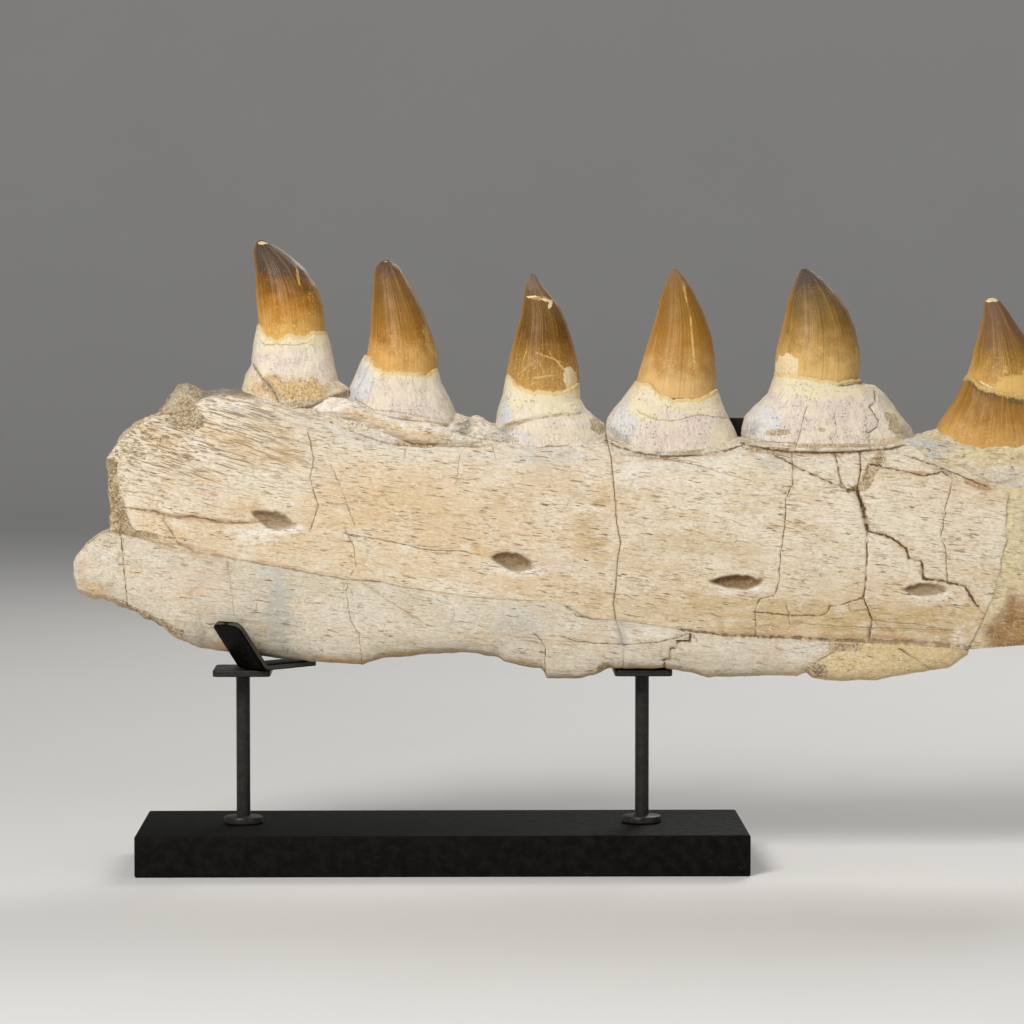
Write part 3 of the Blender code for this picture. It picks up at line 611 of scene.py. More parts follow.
# ================================================================ sections of the jaw
def swell(share, fullness=3.0):
    """Half-width at a share of the jaw's height, over the largest half-width."""
    below = (1 - np.clip(1 - share / WIDEST, 0, 1) ** fullness) ** (1 / fullness)
    above = 1 - (1 - RIM_WIDTH) * (np.maximum(share - WIDEST, 0) / (1 - WIDEST)) ** 2
    return np.where(share < WIDEST, below, above)


def rim_at(x):
    """Height of the outer rim."""
    return soft_line(OUTER_RIM, x, 2.0)


def low_at(x):
    """Height of the underside."""
    return soft_line(UNDERSIDE, x, 0.5)


def outer_wall(x, z):
    """y of the outer wall."""
    low = low_at(x)
    share = np.clip((z - low) / (rim_at(x) - low), 0, 1)
    return -soft_line(OUTER_HALF, x, 12) * swell(share, line(FULLNESS, x))


def inner_wall(x, z):
    """y of the inner wall, with its lengthwise groove."""
    low = low_at(x)
    share = np.clip((z - low) / (rim_at(x) - INNER_RIM_DROP - low), 0, 1)
    groove = GROOVE_DEPTH * np.exp(-(((share - GROOVE_AT) / GROOVE_SPREAD) ** 2))
    return soft_line(INNER_HALF, x, 12) * swell(share) * (1 - groove)


def upper_section(x, turn):
    """Upper bone: up the outer wall, over the top, down the inner wall and back along the seam."""
    outer_end, top_end, inner_end = 0.52, 0.64, 0.92
    low_out = soft_line(SEAM, x, 0.8)
    low_in = low_out + line(SEAM_RISE, x)
    rim_out = rim_at(x)
    rim_in = rim_out - INNER_RIM_DROP
    up = np.clip(turn / outer_end, 0, 1)
    over = np.clip((turn - outer_end) / (top_end - outer_end), 0, 1)
    down = np.clip((turn - top_end) / (inner_end - top_end), 0, 1)
    back = np.clip((turn - inner_end) / (1 - inner_end), 0, 1)
    z = low_out + (rim_out - low_out) * up
    y = outer_wall(x, z)
    on_top = turn > outer_end
    rise = np.sin(math.pi * over) ** 0.8 * (soft_line(CREST, x, 3) - (rim_out + rim_in) / 2)
    z = np.where(on_top, rim_out + (rim_in - rim_out) * over + rise, z)
    edge_out, edge_in = outer_wall(x, rim_out), inner_wall(x, rim_in)
    y = np.where(on_top, edge_out + (edge_in - edge_out) * over, y)
    inside = turn > top_end
    z = np.where(inside, rim_in + (low_in - rim_in) * down, z)
    y = np.where(inside, inner_wall(x, z), y)
    below = turn > inner_end
    foot_out, foot_in = outer_wall(x, low_out), inner_wall(x, low_in)
    z = np.where(below, low_in + (low_out - low_in) * back, z)
    y = np.where(below, foot_in + (foot_out - foot_in) * back, y)
    return y, z


def lower_section(x, turn):
    """Lower bone: down the outer wall, round the keel, up the inner wall and back along the seam."""
    outer_end, inner_end = 0.50, 0.88
    high_out = soft_line(SEAM, x, 0.8)
    high_in = high_out + line(SEAM_RISE, x)
    low = low_at(x)
    left = 1 - np.clip(turn / outer_end, 0, 1)
    up = np.clip((turn - outer_end) / (inner_end - outer_end), 0, 1)
    back = np.clip((turn - inner_end) / (1 - inner_end), 0, 1)
    z = low + (high_out - low) * (0.5 * left + 0.5 * left ** 3)
    y = outer_wall(x, z)
    inside = turn > outer_end
    z = np.where(inside, low + (high_in - low) * (0.5 * up + 0.5 * up ** 3), z)
    y = np.where(inside, inner_wall(x, z), y)
    above = turn > inner_end
    edge_out, edge_in = outer_wall(x, high_out), inner_wall(x, high_in)
    z = np.where(above, high_in + (high_out - high_in) * back, z)
    y = np.where(above, edge_in + (edge_out - edge_in) * back, y)
    return y, z


def bone_shape(section, start, end, cap):
    """Shape of a length of bone between two broken ends, each a path or an x."""
    def edge(limit, z):
        return across(limit, z) if isinstance(limit, list) else np.full(len(z), float(limit))

    def place_along(share, z):
        return edge(start, z) + (edge(end, z) - edge(start, z)) * share

    def shape(along, turn):
        share = np.clip((along - cap) / (1 - 2 * cap), 0, 1)
        kept = np.clip(np.minimum(along, 1 - along) / cap, 0, 1)
        z = np.full(len(along), MID_HEIGHT)
        for _ in range(3):  # x and z settle each other
            x = place_along(share, z)
            y, z = section(x, turn)
        middle_z = sum(section(x, np.full(len(x), level))[1] for level in (SEAM_TURN, FAR_TURN)) / 2
        z = middle_z + (z - middle_z) * kept
        return place_along(share, z), y * kept, z

    return shape


# ================================================================ relief and masks of the jaw
def outer_share(y):
    """1 on the outer side and 0 on the inner side."""
    return fade(y, 2.0, -6.0)


def opening_reach(points, opening):
    """0 at an opening's middle and 1 at its uneven edge, which is pointed towards -X."""
    over, up = oval_reach(points[:, 0], points[:, 2], opening)
    narrow = 1 - 0.62 * fade(-over, 0.0, 1.1)
    lift = 0.25 * np.clip(-over, 0, 1)
    return np.hypot(over, (up - lift) / narrow) + 0.15 * bumps(points, 2.4, 12)


def bone_relief(points, along, turn):
    """How far the skin of a bone stands out: grain, rough rim and keel, breaks, openings and ends."""
    x, y, z = points.T
    outside = outer_share(y)
    amount = 0.40 * bumps(points, 26, 3) + 0.22 * bumps(points, 9, 4)
    grain = bumps(points, (16, 3, 1.9), 5) * 0.10 + bumps(points, (7, 2, 1.1), 6) * 0.06
    coarse = fade(x, -120, -200) * fade(z, 186, 206)
    fibres = 1 - np.abs(bumps(points + [0, 0, 0.28] * points[:, :1], (24, 4, 2.6), 8)) * 2
    amount += grain * (1 + 1.2 * coarse) + fibres * 0.62 * coarse
    on_top = fade(z - rim_at(x), -1.0, 2.5) * (1 + 1.4 * fade(x, -190, -214))
    amount += on_top * (0.55 * rough(points, 7, 7) + 0.25 * bumps(points, 1.6, 10))
    keel = fade(z - low_at(x), 5.0, 0.6)
    amount += keel * (0.30 + 0.5 * fade(x, -195, -210)) * rough(points, (4, 12, 4), 13, 3)
    amount += 0.10 * rough(points, 2.6, 9, 2) * (1 - outside)
    for crack in BREAKS:
        low_x, high_x = min(p[0] for p in crack.path) - 8, max(p[0] for p in crack.path) + 8
        near = (x > low_x) & (x < high_x)
        if not near.any():
            continue
        off = from_path(x[near], z[near] + 0.4 * bumps(points[near], 4, 11), crack.path)
        groove = crack.depth * np.exp(-((off / (crack.half * 1.25)) ** 2))
        step = 0.10 * np.sign(off) * np.exp(-((off / 5) ** 2))
        amount[near] -= (groove - step) * outside[near]
    for opening in OPENINGS:
        hole = 1.4 * opening.depth * (1 - fade(opening_reach(points, opening), 0.35, 1.08))
        amount -= hole * outside
    amount += np.maximum(*lost_sheet(points)) * outside * (-0.8 + 0.40 * rough(points, 5, 14))
    amount += fade(x, -238, -245) * 0.9 * rough(points, 7, 19)
    front_end = fade(x - across(FRONT_END, z), -9, -1)
    amount += front_end * (2.6 * rough(points, 14, 17) + 0.5 * bumps(points, 2.4, 18) - 3.6)
    return amount


def lost_sheet(points):
    """Two masks of the lost outer layer of bone: behind the rear plug's edge, before the front sheet's."""
    x, _, z = points.T
    ragged = 0.8 * bumps(points, 5, 20) + 0.4 * bumps(points, 2, 21)
    rear = fade(x + ragged, across(REAR_PLUG, z) + 0.5, across(REAR_PLUG, z) - 0.5) * fade(z, 206, 203)
    front = fade(x + ragged, across(FRONT_SHEET, z) - 0.4, across(FRONT_SHEET, z) + 0.4)
    above = fade(z + ragged - line(PLASTER_FLOOR, x), -0.4, 0.6) * fade(x, 148, 156)
    return rear, np.maximum(front, above) * fade(x + 5 * ragged, PLASTER_END + 3, PLASTER_END - 3)


def crack_marks(points, breaks, outside):
    """Signed distance from the nearest break over its half-width, and how dark it is close to one."""
    x, _, z = points.T
    nearest, ink = np.full(len(x), 9.0), np.zeros(len(x))
    ragged_x = x + 0.35 * bumps(points, 2.2, 31) + 0.2 * bumps(points, 0.9, 32)
    ragged_z = z + 0.35 * bumps(points, 2.2, 33) + 0.2 * bumps(points, 0.9, 34)
    for crack in breaks:
        off = from_path(ragged_x, ragged_z, crack.path) / crack.half
        closer = np.abs(off) < np.abs(nearest)
        nearest = np.where(closer, off, nearest)
        ink = np.where(closer, crack.ink, ink)
    return {"crack": nearest, "near": ink * fade(np.abs(nearest), 8.0, 4.0) * outside}


def raise_mask(marks, kind, values):
    """Give a mask the values wherever they are higher."""
    marks[kind] = np.maximum(marks[kind], values)


def patch_marks(points, patches, outside):
    """One mask for each kind of stain."""
    x, _, z = points.T
    ragged = 0.30 * bumps(points, 6, 41) + 0.22 * bumps(points, (5, 2, 1.6), 42)
    ragged += 0.12 * bumps(points, 1.2, 43)
    marks = {kind: np.zeros(len(x)) for kind in KINDS}
    for kind, spots in patches.items():
        for patch in map(Patch._make, spots):
            reach = np.hypot(*oval_reach(x, z, patch)) + ragged
            raise_mask(marks, kind, patch.strength * (1 - fade(reach, 0.35, 1.15)) * outside)
    return marks


def hold_edges(points):
    """Keep the edges where two pieces of bone meet from moving apart."""
    x, _, z = points.T
    gaps = [np.abs(x - across(path, z)) for path in (MID_BREAK, FRONT_BREAK)]
    free_x = fade(np.minimum(*gaps), 1.0, 3.0)
    free_z = fade(np.abs(z - soft_line(SEAM, x, 0.8)), 0.6, 2.2)
    return np.stack([free_x, np.ones(len(x)), free_z], axis=1)


def upper_marks(points, along, turn):
    """Masks for the upper bone: stains, openings, lost outer layer, rim wash and broken ends."""
    x, y, z = points.T
    outside = outer_share(y)
    marks = crack_marks(points, BREAKS, outside)
    marks.update(patch_marks(points, JAW_PATCHES, outside))
    marks["pit"] = np.zeros(len(x))
    for opening in OPENINGS:
        reach = opening_reach(points, opening)
        # Painted shade: the openings' dark fill is darkest at their top, whose upper wall lies in shade,
        # and darker in the deeper openings.
        shade = np.clip(1.1 + 0.4 * (z - opening.z) / opening.half_z, 0.7, 1)
        shade *= max(0.6 * opening.depth - 0.5, 0.8)
        raise_mask(marks, "pit", (1 - fade(reach, 0.76, 1.03)) * outside * shade)
        lip = fade(reach, 1.75, 1.15) * fade(z - opening.z, -0.3, -0.8 * opening.half_z) * outside
        raise_mask(marks, "pale", 1.3 * lip)
    rear, front = lost_sheet(points)
    front *= outside
    depth = line(INNER_BONE, x) - z + 5 * rough(points, 9, 49, 2)
    brown = fade(depth, -7, 9) * fade(x + 0.6 * (z - 110), 192, 203) * outside
    marks["brown"] = brown
    raise_mask(marks, "filler", front * (1 - brown) * (0.85 + 0.15 * bumps(points, 9, 46)))
    raise_mask(marks, "blue", front * 0.8 * fade(x, 182, 166))
    rim_wash = fade(z - rim_at(x), -15, -3) * np.clip(0.75 + 0.5 * bumps(points, (26, 6, 5), 47), 0, 1)
    rim_wash *= fade(x, -175, -140) * outside
    raise_mask(marks, "blue", 0.42 * rim_wash)
    raise_mask(marks, "pale", 0.80 * rim_wash)
    top = fade(z - rim_at(x), -1.5, 1.5)
    broken = 1 - fade(x, -246, -242) + fade(x - across(FRONT_END, z) + bumps(points, 5, 24), -3.4, -1)
    marks["rock"] = np.clip(np.maximum.reduce([marks["rock"], rear, broken]), 0, 1.3)
    wedge = line(WEDGE_HALF, x) - np.abs(from_path(x + 0.7 * bumps(points, 2.5, 23), z, WEDGE))
    raise_mask(marks, "rock", 1.3 * fade(wedge, -0.3, 0.5) * outside)
    raise_mask(marks, "pit", 0.75 * rear * outside * np.clip(0.4 + bumps(points, 7, 50), 0, 1))
    # Painted shade: the jaw's top behind the crest, between the lump and the first tooth, is painted dark
    # grey and kept free of crust.
    painted_crest_shade = fade(x, -206, -200) * fade(x, -168, -177) * fade(z - rim_at(x), 0.5, 2.5)
    raise_mask(marks, "grey", 3.2 * painted_crest_shade)
    patchy = 0.5 + 0.5 * rough(points, 14, 45, 2)
    raise_mask(marks, "pale", top * np.clip(patchy, 0.35, 1.0))
    raise_mask(marks, "warm", 0.8 * top * np.clip(1 - patchy, 0, 1))
    marks["crust"] = np.maximum(top * (1 - painted_crest_shade), 0.35 * front)
    marks["fibre"] = fade(x, -110, -190) * fade(z, 184, 204)
    return marks


def lower_marks(points, along, turn):
    """Masks for the lower bone: stains, warm keel and the plaster before its broken front."""
    x, y, z = points.T
    outside = outer_share(y)
    marks = crack_marks(points, BREAKS, outside)
    marks.update(patch_marks(points, LOW_PATCHES, np.maximum(outside, fade(z, 112, 104))))
    raise_mask(marks, "warm", 0.85 * fade(z - low_at(x), 3.2, 0.8))
    ragged = 2.6 * bumps(points, 9, 20) + 1.2 * bumps(points, 3, 22)
    marks["filler"] = fade(x + ragged - 0.4 * (z - 104), 111, 114)
    for empty in ("pit", "brown", "fibre"):
        marks[empty] = np.zeros(len(x))
    marks["crust"] = 0.5 * marks["filler"]
    return marks


def ledge_marks(points, along, turn):
    """Masks for the plaster ledges under the teeth."""
    x = points[:, 0]
    marks = {name: np.zeros(len(x)) for name in ("near", "pit", "brown", "fibre")}
    marks["crack"] = np.full(len(x), 9.0)
    marks.update(patch_marks(points, LEDGE_PATCHES, np.ones(len(x))))
    cloudy = 0.5 + 0.5 * bumps(points, (16, 6, 6), 48)
    raise_mask(marks, "pale", 0.8 * cloudy)
    marks["crust"] = 0.22 + 0.45 * fade(x, -90, -66) * fade(x, 60, 40) + 0.1 * fade(x, 60, 150)
    return marks


# ================================================================ shader helpers
def node(tree, kind, inputs=None, **settings):
    """A shader node with its settings and its inputs, each a value or an output of another node."""
    made = tree.nodes.new(kind)
    for name, value in settings.items():
        setattr(made, name, value)
    for name, value in (inputs or {}).items():
        if isinstance(value, bpy.types.NodeSocket):
            tree.links.new(value, made.inputs[name])
        else:
            made.inputs[name].default_value = value
    return made


def math_node(tree, operation, first, second=0.0):
    return node(tree, "ShaderNodeMath", {0: first, 1: second}, operation=operation).outputs[0]


def times(tree, first, second):
    return math_node(tree, "MULTIPLY", first, second)


def plus(tree, first, second):
    return math_node(tree, "ADD", first, second)


def minus(tree, first, second):
    return math_node(tree, "SUBTRACT", first, second)


def divided(tree, first, second):
    return math_node(tree, "DIVIDE", first, second)


def larger(tree, first, second):
    return math_node(tree, "MAXIMUM", first, second)


def mix_values(tree, share, first, second):
    return node(tree, "ShaderNodeMix", {0: share, 2: first, 3: second}, data_type="FLOAT").outputs[0]


def mix_colour(tree, share, first, second):
    first, second = ((*value, 1.0) if isinstance(value, tuple) else value for value in (first, second))
    return node(tree, "ShaderNodeMix", {0: share, 6: first, 7: second}, data_type="RGBA").outputs[2]


def between(tree, value, low, high, bottom=0.0, top=1.0):
    """The value carried smoothly from the range low to high into the range bottom to top."""
    inputs = {"Value": value, "From Min": low, "From Max": high, "To Min": bottom, "To Max": top}
    return node(tree, "ShaderNodeMapRange", inputs, interpolation_type="SMOOTHSTEP").outputs["Result"]


def mask(tree, name):
    """A mask that the mesh carries."""
    return node(tree, "ShaderNodeAttribute", attribute_name=name).outputs["Fac"]


def noise(tree, vector, scale, detail=2.0, roughness=0.5, distortion=0.0):
    inputs = {
        "Vector": vector, "Scale": scale, "Detail": detail, "Roughness": roughness,
        "Distortion": distortion,
    }
    return node(tree, "ShaderNodeTexNoise", inputs).outputs["Fac"]


def stretched(tree, vector, scale, slope=0.0):
    """The vector scaled along its axes after a slope, down to the right, is taken out."""
    turned = node(tree, "ShaderNodeMapping", {"Vector": vector, "Rotation": (0.0, -slope, 0.0)}).outputs[0]
    return node(tree, "ShaderNodeMapping", {"Vector": turned, "Scale": scale}).outputs[0]


def in_mm(tree):
    """Object coordinates in millimetres."""
    place = node(tree, "ShaderNodeTexCoord").outputs["Object"]
    return node(tree, "ShaderNodeVectorMath", {0: place, "Scale": 1 / MM}, operation="SCALE").outputs[0]


def new_group(name, inputs, outputs):
    """An empty node group with its named sockets; returns it with its inside input and output nodes."""
    group = bpy.data.node_groups.new(name, "ShaderNodeTree")
    for label, kind, value in inputs:
        socket = group.interface.new_socket(label, in_out="INPUT", socket_type=f"NodeSocket{kind}")
        if value is not None:
            socket.default_value = value
    for label, kind in outputs:
        group.interface.new_socket(label, in_out="OUTPUT", socket_type=f"NodeSocket{kind}")
    return group, group.nodes.new("NodeGroupInput"), group.nodes.new("NodeGroupOutput")


def place_group(tree, group, **inputs):
    return node(tree, "ShaderNodeGroup", inputs, node_tree=group)


def new_material(name):
    made = bpy.data.materials.new(name)
    made.use_nodes = True
    return made, made.node_tree, made.node_tree.nodes["Principled BSDF"]


def set_surface(tree, shader, colour, roughness, normal, gloss):
    """Give a shader its colour, roughness and normal, and say how strongly it reflects."""
    tree.links.new(colour, shader.inputs["Base Color"])
    tree.links.new(roughness, shader.inputs["Roughness"])
    tree.links.new(normal, shader.inputs["Normal"])
    shader.inputs["Specular IOR Level"].default_value = gloss


def bump_from(tree, height, reach, strength=1.0, normal=None):
    """A normal from a height; reach is the relief's depth in millimetres."""
    inputs = {"Height": height, "Distance": reach * MM, "Strength": strength}
    if normal is not None:
        inputs["Normal"] = normal
    return node(tree, "ShaderNodeBump", inputs).outputs[0]


# ================================================================ shared effects
def make_streaks():
    """Short dark pits drawn out along the bone."""
    group, given, result = new_group(
        "lengthwise streaks",
        [("Vector", "Vector", None), ("Length", "Float", 9.0), ("Width", "Float", 1.0),
         ("Cover", "Float", 0.62), ("Slope", "Float", 0.12)],
        [("Streaks", "Float"), ("Height", "Float")],
    )
    inputs = {
        "Vector": given.outputs["Vector"], "Angle": times(group, given.outputs["Slope"], -1.0),
    }
    turned = node(group, "ShaderNodeVectorRotate", inputs, rotation_type="Y_AXIS").outputs[0]
    parts = node(group, "ShaderNodeSeparateXYZ", {0: turned})
    x = divided(group, parts.outputs[0], given.outputs["Length"])
    y = divided(group, parts.outputs[1], given.outputs["Width"])
    z = divided(group, parts.outputs[2], given.outputs["Width"])
    drawn = node(group, "ShaderNodeCombineXYZ", {0: x, 1: y, 2: z}).outputs[0]
    value = noise(group, drawn, 1.0, 2.0, 0.55, 0.25)
    high = plus(group, given.outputs["Cover"], 0.07)
    group.links.new(between(group, value, given.outputs["Cover"], high), result.inputs["Streaks"])
    group.links.new(value, result.inputs["Height"])
    return group


def make_hairlines():
    """A net of fine upright and level cracks that comes and goes."""
    group, given, result = new_group(
        "hairline cracks",
        [("Vector", "Vector", None), ("Width", "Float", 6.0), ("Height", "Float", 4.0),
         ("Thickness", "Float", 0.03), ("Cover", "Float", 0.5)],
        [("Lines", "Float")],
    )
    vector = given.outputs["Vector"]
    bend = node(group, "ShaderNodeTexNoise", {"Vector": vector, "Scale": 0.12, "Detail": 2.0})
    bend = node(group, "ShaderNodeVectorMath", {0: bend.outputs["Color"], "Scale": 1.3}, operation="SCALE")
    bent = node(group, "ShaderNodeVectorMath", {0: vector, 1: bend.outputs[0]}, operation="ADD").outputs[0]
    parts = node(group, "ShaderNodeSeparateXYZ", {0: bent})
    x = divided(group, parts.outputs[0], given.outputs["Width"])
    y = times(group, parts.outputs[1], 0.02)
    z = divided(group, parts.outputs[2], given.outputs["Height"])
    flat = node(group, "ShaderNodeCombineXYZ", {0: x, 1: y, 2: z}).outputs[0]
    cells = node(group, "ShaderNodeTexVoronoi", {"Vector": flat, "Scale": 1.0, "Randomness": 0.36},
                 feature="DISTANCE_TO_EDGE").outputs["Distance"]
    thin = between(group, cells, 0.0, given.outputs["Thickness"], 1.0, 0.0)
    gate_value = noise(group, vector, 0.16, 3.0, 0.7)
    gate = between(group, gate_value, given.outputs["Cover"], plus(group, given.outputs["Cover"], 0.10))
    group.links.new(times(group, thin, gate), result.inputs["Lines"])
    return group


def make_rock_grain():
    """Sandy rock: grains of several browns."""
    group, given, result = new_group(
        "rock grain", [("Vector", "Vector", None)], [("Colour", "Color"), ("Height", "Float")]
    )
    vector = given.outputs["Vector"]
    broad = between(group, noise(group, vector, 0.18, 4.0, 0.65), 0.38, 0.62)
    colour = mix_colour(group, broad, (0.33, 0.225, 0.115), (0.58, 0.465, 0.30))
    grains = node(group, "ShaderNodeTexVoronoi", {"Vector": vector, "Scale": 1.35, "Randomness": 1.0})
    shade = node(group, "ShaderNodeSeparateColor", {0: grains.outputs["Color"]}).outputs[0]
    colour = mix_colour(group, between(group, shade, 0.60, 0.95, 0.0, 0.8), colour, (0.66, 0.56, 0.40))
    colour = mix_colour(group, between(group, shade, 0.36, 0.08, 0.0, 0.75), colour, (0.19, 0.125, 0.07))
    domes = times(group, grains.outputs["Distance"], 0.45)
    height = minus(group, noise(group, vector, 0.9, 4.0, 0.75), domes)
    group.links.new(colour, result.inputs["Colour"])
    group.links.new(height, result.inputs["Height"])
    return group


def make_cracked_skin():
    """The mesh of tiny plates into which old bone and enamel break."""
    group, given, result = new_group(
        "cracked skin",
        [("Vector", "Vector", None), ("Size", "Float", 4.0), ("Thickness", "Float", 0.05)],
        [("Lines", "Float")],
    )
    size = divided(group, 1.0, given.outputs["Size"])
    small = node(group, "ShaderNodeVectorMath", {0: given.outputs["Vector"], "Scale": size},
                 operation="SCALE").outputs[0]
    bend = node(group, "ShaderNodeTexNoise", {"Vector": small, "Scale": 1.4, "Detail": 2.0})
    small = node(group, "ShaderNodeVectorMath", {0: small, 1: bend.outputs["Color"]}, operation="ADD")
    edges = node(group, "ShaderNodeTexVoronoi", {"Vector": small.outputs[0], "Scale": 1.0},
                 feature="DISTANCE_TO_EDGE")
    thin = between(group, edges.outputs["Distance"], 0.0, given.outputs["Thickness"], 1.0, 0.0)
    group.links.new(thin, result.inputs["Lines"])
    return group


STREAKS = make_streaks()
HAIRLINES = make_hairlines()
ROCK_GRAIN = make_rock_grain()
CRACKED_SKIN = make_cracked_skin()

# ================================================================ finishes
DARK_FILL = (0.125, 0.078, 0.04)


def draw_cracks(tree, place, colour):
    """Dark uneven lines along the breaks, with a little stain beside them."""
    off = math_node(tree, "ABSOLUTE", mask(tree, "crack"))
    ink = mask(tree, "near")
    wander = noise(tree, place, 0.5, 3.0, 0.65)
    ratio = divided(tree, off, between(tree, wander, 0.3, 0.7, 0.30, 1.45))
    broken = between(tree, noise(tree, place, 0.28, 2.0), 0.34, 0.52, 0.22, 1.0)
    line_here = times(tree, between(tree, ratio, 0.5, 1.25, 1.0, 0.0), ink)
    line_here = times(tree, line_here, broken)
    halo = times(tree, between(tree, ratio, 0.8, 4.5, 0.30, 0.0), ink)
    colour = mix_colour(tree, halo, colour, (0.50, 0.34, 0.17))
    fill = mix_colour(tree, between(tree, ink, 0.50, 0.85), (0.30, 0.20, 0.10), DARK_FILL)
    return mix_colour(tree, line_here, colour, fill), line_here


def stony_places(tree, place, low, high):
    """The rock mask with a gritty edge; returns it with the rock's own colour and height."""
    rock = place_group(tree, ROCK_GRAIN, Vector=place)
    grit = noise(tree, place, 0.8, 3.0, 0.7)
    here = between(tree, plus(tree, mask(tree, "rock"), times(tree, grit, 0.7)), low, high)
    return here, rock.outputs["Colour"], rock.outputs["Height"]


def bone_finish(name, light, deep, plaster, streak_strength, hairline_strength):
    """Pale mineral bone with streak pits, hairlines, stains, breaks and rock in its hollows."""
    made, tree, shader = new_material(name)
    place = in_mm(tree)
    cloudy = noise(tree, stretched(tree, place, (0.35, 1.0, 1.0), 0.14), 0.22, 4.0, 0.65)
    colour = bone_ground(tree, place, cloudy, light, deep, plaster)
    colour, streaks = bone_streaks(tree, place, colour, streak_strength)
    hairlines = (
        (5.0, 3.4, 0.03, 0.48, hairline_strength, (0.34, 0.255, 0.155)),
        (2.1, 1.5, 0.05, 0.52, hairline_strength * 0.45, (0.42, 0.33, 0.215)),
    )
    for width, height, thickness, cover, strength, tint in hairlines:
        hair = place_group(tree, HAIRLINES, Vector=place, Width=width, Height=height, Thickness=thickness,
                           Cover=cover)
        colour = mix_colour(tree, times(tree, hair.outputs["Lines"], strength), colour, tint)

    rock_here, rock_colour, rock_height = stony_places(tree, place, 0.72, 1.0)
    crust_here = mask(tree, "crust")
    colour = speckled(tree, place, crust_here, colour)
    colour = mix_colour(tree, rock_here, colour, rock_colour)
    # The pits' and openings' fill: dark rock colour, with painted shade from the pit mask at the openings'
    # upper walls and in the deeper openings.
    pit = mask(tree, "pit")
    colour = mix_colour(tree, pit, colour, mix_colour(tree, 0.7, rock_colour, (0.17, 0.085, 0.022)))
    colour, line_here = draw_cracks(tree, place, colour)

    streaked = bump_from(tree, minus(tree, streaks, line_here), 0.40, 0.9)
    stony = larger(tree, larger(tree, rock_here, pit), times(tree, crust_here, 0.7))
    normal = bump_from(tree, times(tree, rock_height, stony), 0.6, 0.8, streaked)
    dull = larger(tree, between(tree, cloudy, 0.3, 0.7, 0.62, 0.78), times(tree, stony, 0.95))
    set_surface(tree, shader, colour, dull, normal, 0.28)
    return made


def speckled(tree, place, here, colour):
    """Rough rock and plaster on the bone: pale and sandy blotches with dark specks."""
    blotches = noise(tree, place, 0.42, 4.0, 0.75)
    pale = times(tree, between(tree, blotches, 0.52, 0.64, 0.0, 0.55), here)
    colour = mix_colour(tree, pale, colour, (0.82, 0.79, 0.72))
    sandy = times(tree, between(tree, blotches, 0.47, 0.36, 0.0, 0.75), here)
    colour = mix_colour(tree, sandy, colour, (0.42, 0.325, 0.20))
    specks = between(tree, noise(tree, place, 0.95, 2.0, 0.65), 0.60, 0.66, 0.0, 0.8)
    return mix_colour(tree, times(tree, specks, here), colour, (0.22, 0.165, 0.105))


def bone_ground(tree, place, cloudy, light, deep, plaster):
    """The bone's own colour with its stains."""
    broad = noise(tree, stretched(tree, place, (0.5, 1.0, 1.0), 0.12), 0.05, 4.0, 0.62)
    colour = mix_colour(tree, between(tree, broad, 0.38, 0.62), light, deep)
    whiter = tuple(value * share for value, share in zip(light, (1.06, 1.10, 1.17)))
    colour = mix_colour(tree, between(tree, cloudy, 0.45, 0.68, 0.0, 0.6), colour, whiter)
    rusty = noise(tree, stretched(tree, place, (0.45, 1.0, 1.0), 0.15), 0.11, 4.0, 0.7)
    colour = mix_colour(tree, between(tree, rusty, 0.56, 0.74, 0.0, 0.42), colour, (0.66, 0.44, 0.22))
    tints = (
        ("warm", (0.64, 0.385, 0.145), 0.85), ("pale", (0.82, 0.77, 0.69), 0.75),
        ("blue", (0.475, 0.468, 0.422), 0.80), ("pink", (0.70, 0.525, 0.44), 0.70),
        ("tan", (0.52, 0.365, 0.168), 0.92), ("rust", (0.42, 0.23, 0.12), 0.9),
        # grey carries painted shade: behind the crest and in the notch at the second ledge
        ("grey", (0.20, 0.19, 0.165), 1.0),
    )
    for kind, tint, most in tints:
        uneven = times(tree, mask(tree, kind), between(tree, cloudy, 0.3, 0.6, 0.30, most))
        colour = mix_colour(tree, uneven, colour, tint)
    colour = mix_colour(tree, mask(tree, "filler"), colour, plaster)
    browns = mix_colour(tree, between(tree, cloudy, 0.35, 0.65), (0.225, 0.095, 0.012),
                        (0.365, 0.185, 0.038))
    colour = mix_colour(tree, mask(tree, "brown"), colour, browns)
    grain = noise(tree, stretched(tree, place, (0.4, 1.0, 1.0), 0.12), 1.25, 2.0, 0.6)
    colour = mix_colour(tree, between(tree, grain, 0.50, 0.34, 0.0, 0.34), colour, (0.50, 0.37, 0.22))
    return mix_colour(tree, between(tree, grain, 0.52, 0.68, 0.0, 0.35), colour, (0.85, 0.77, 0.63))


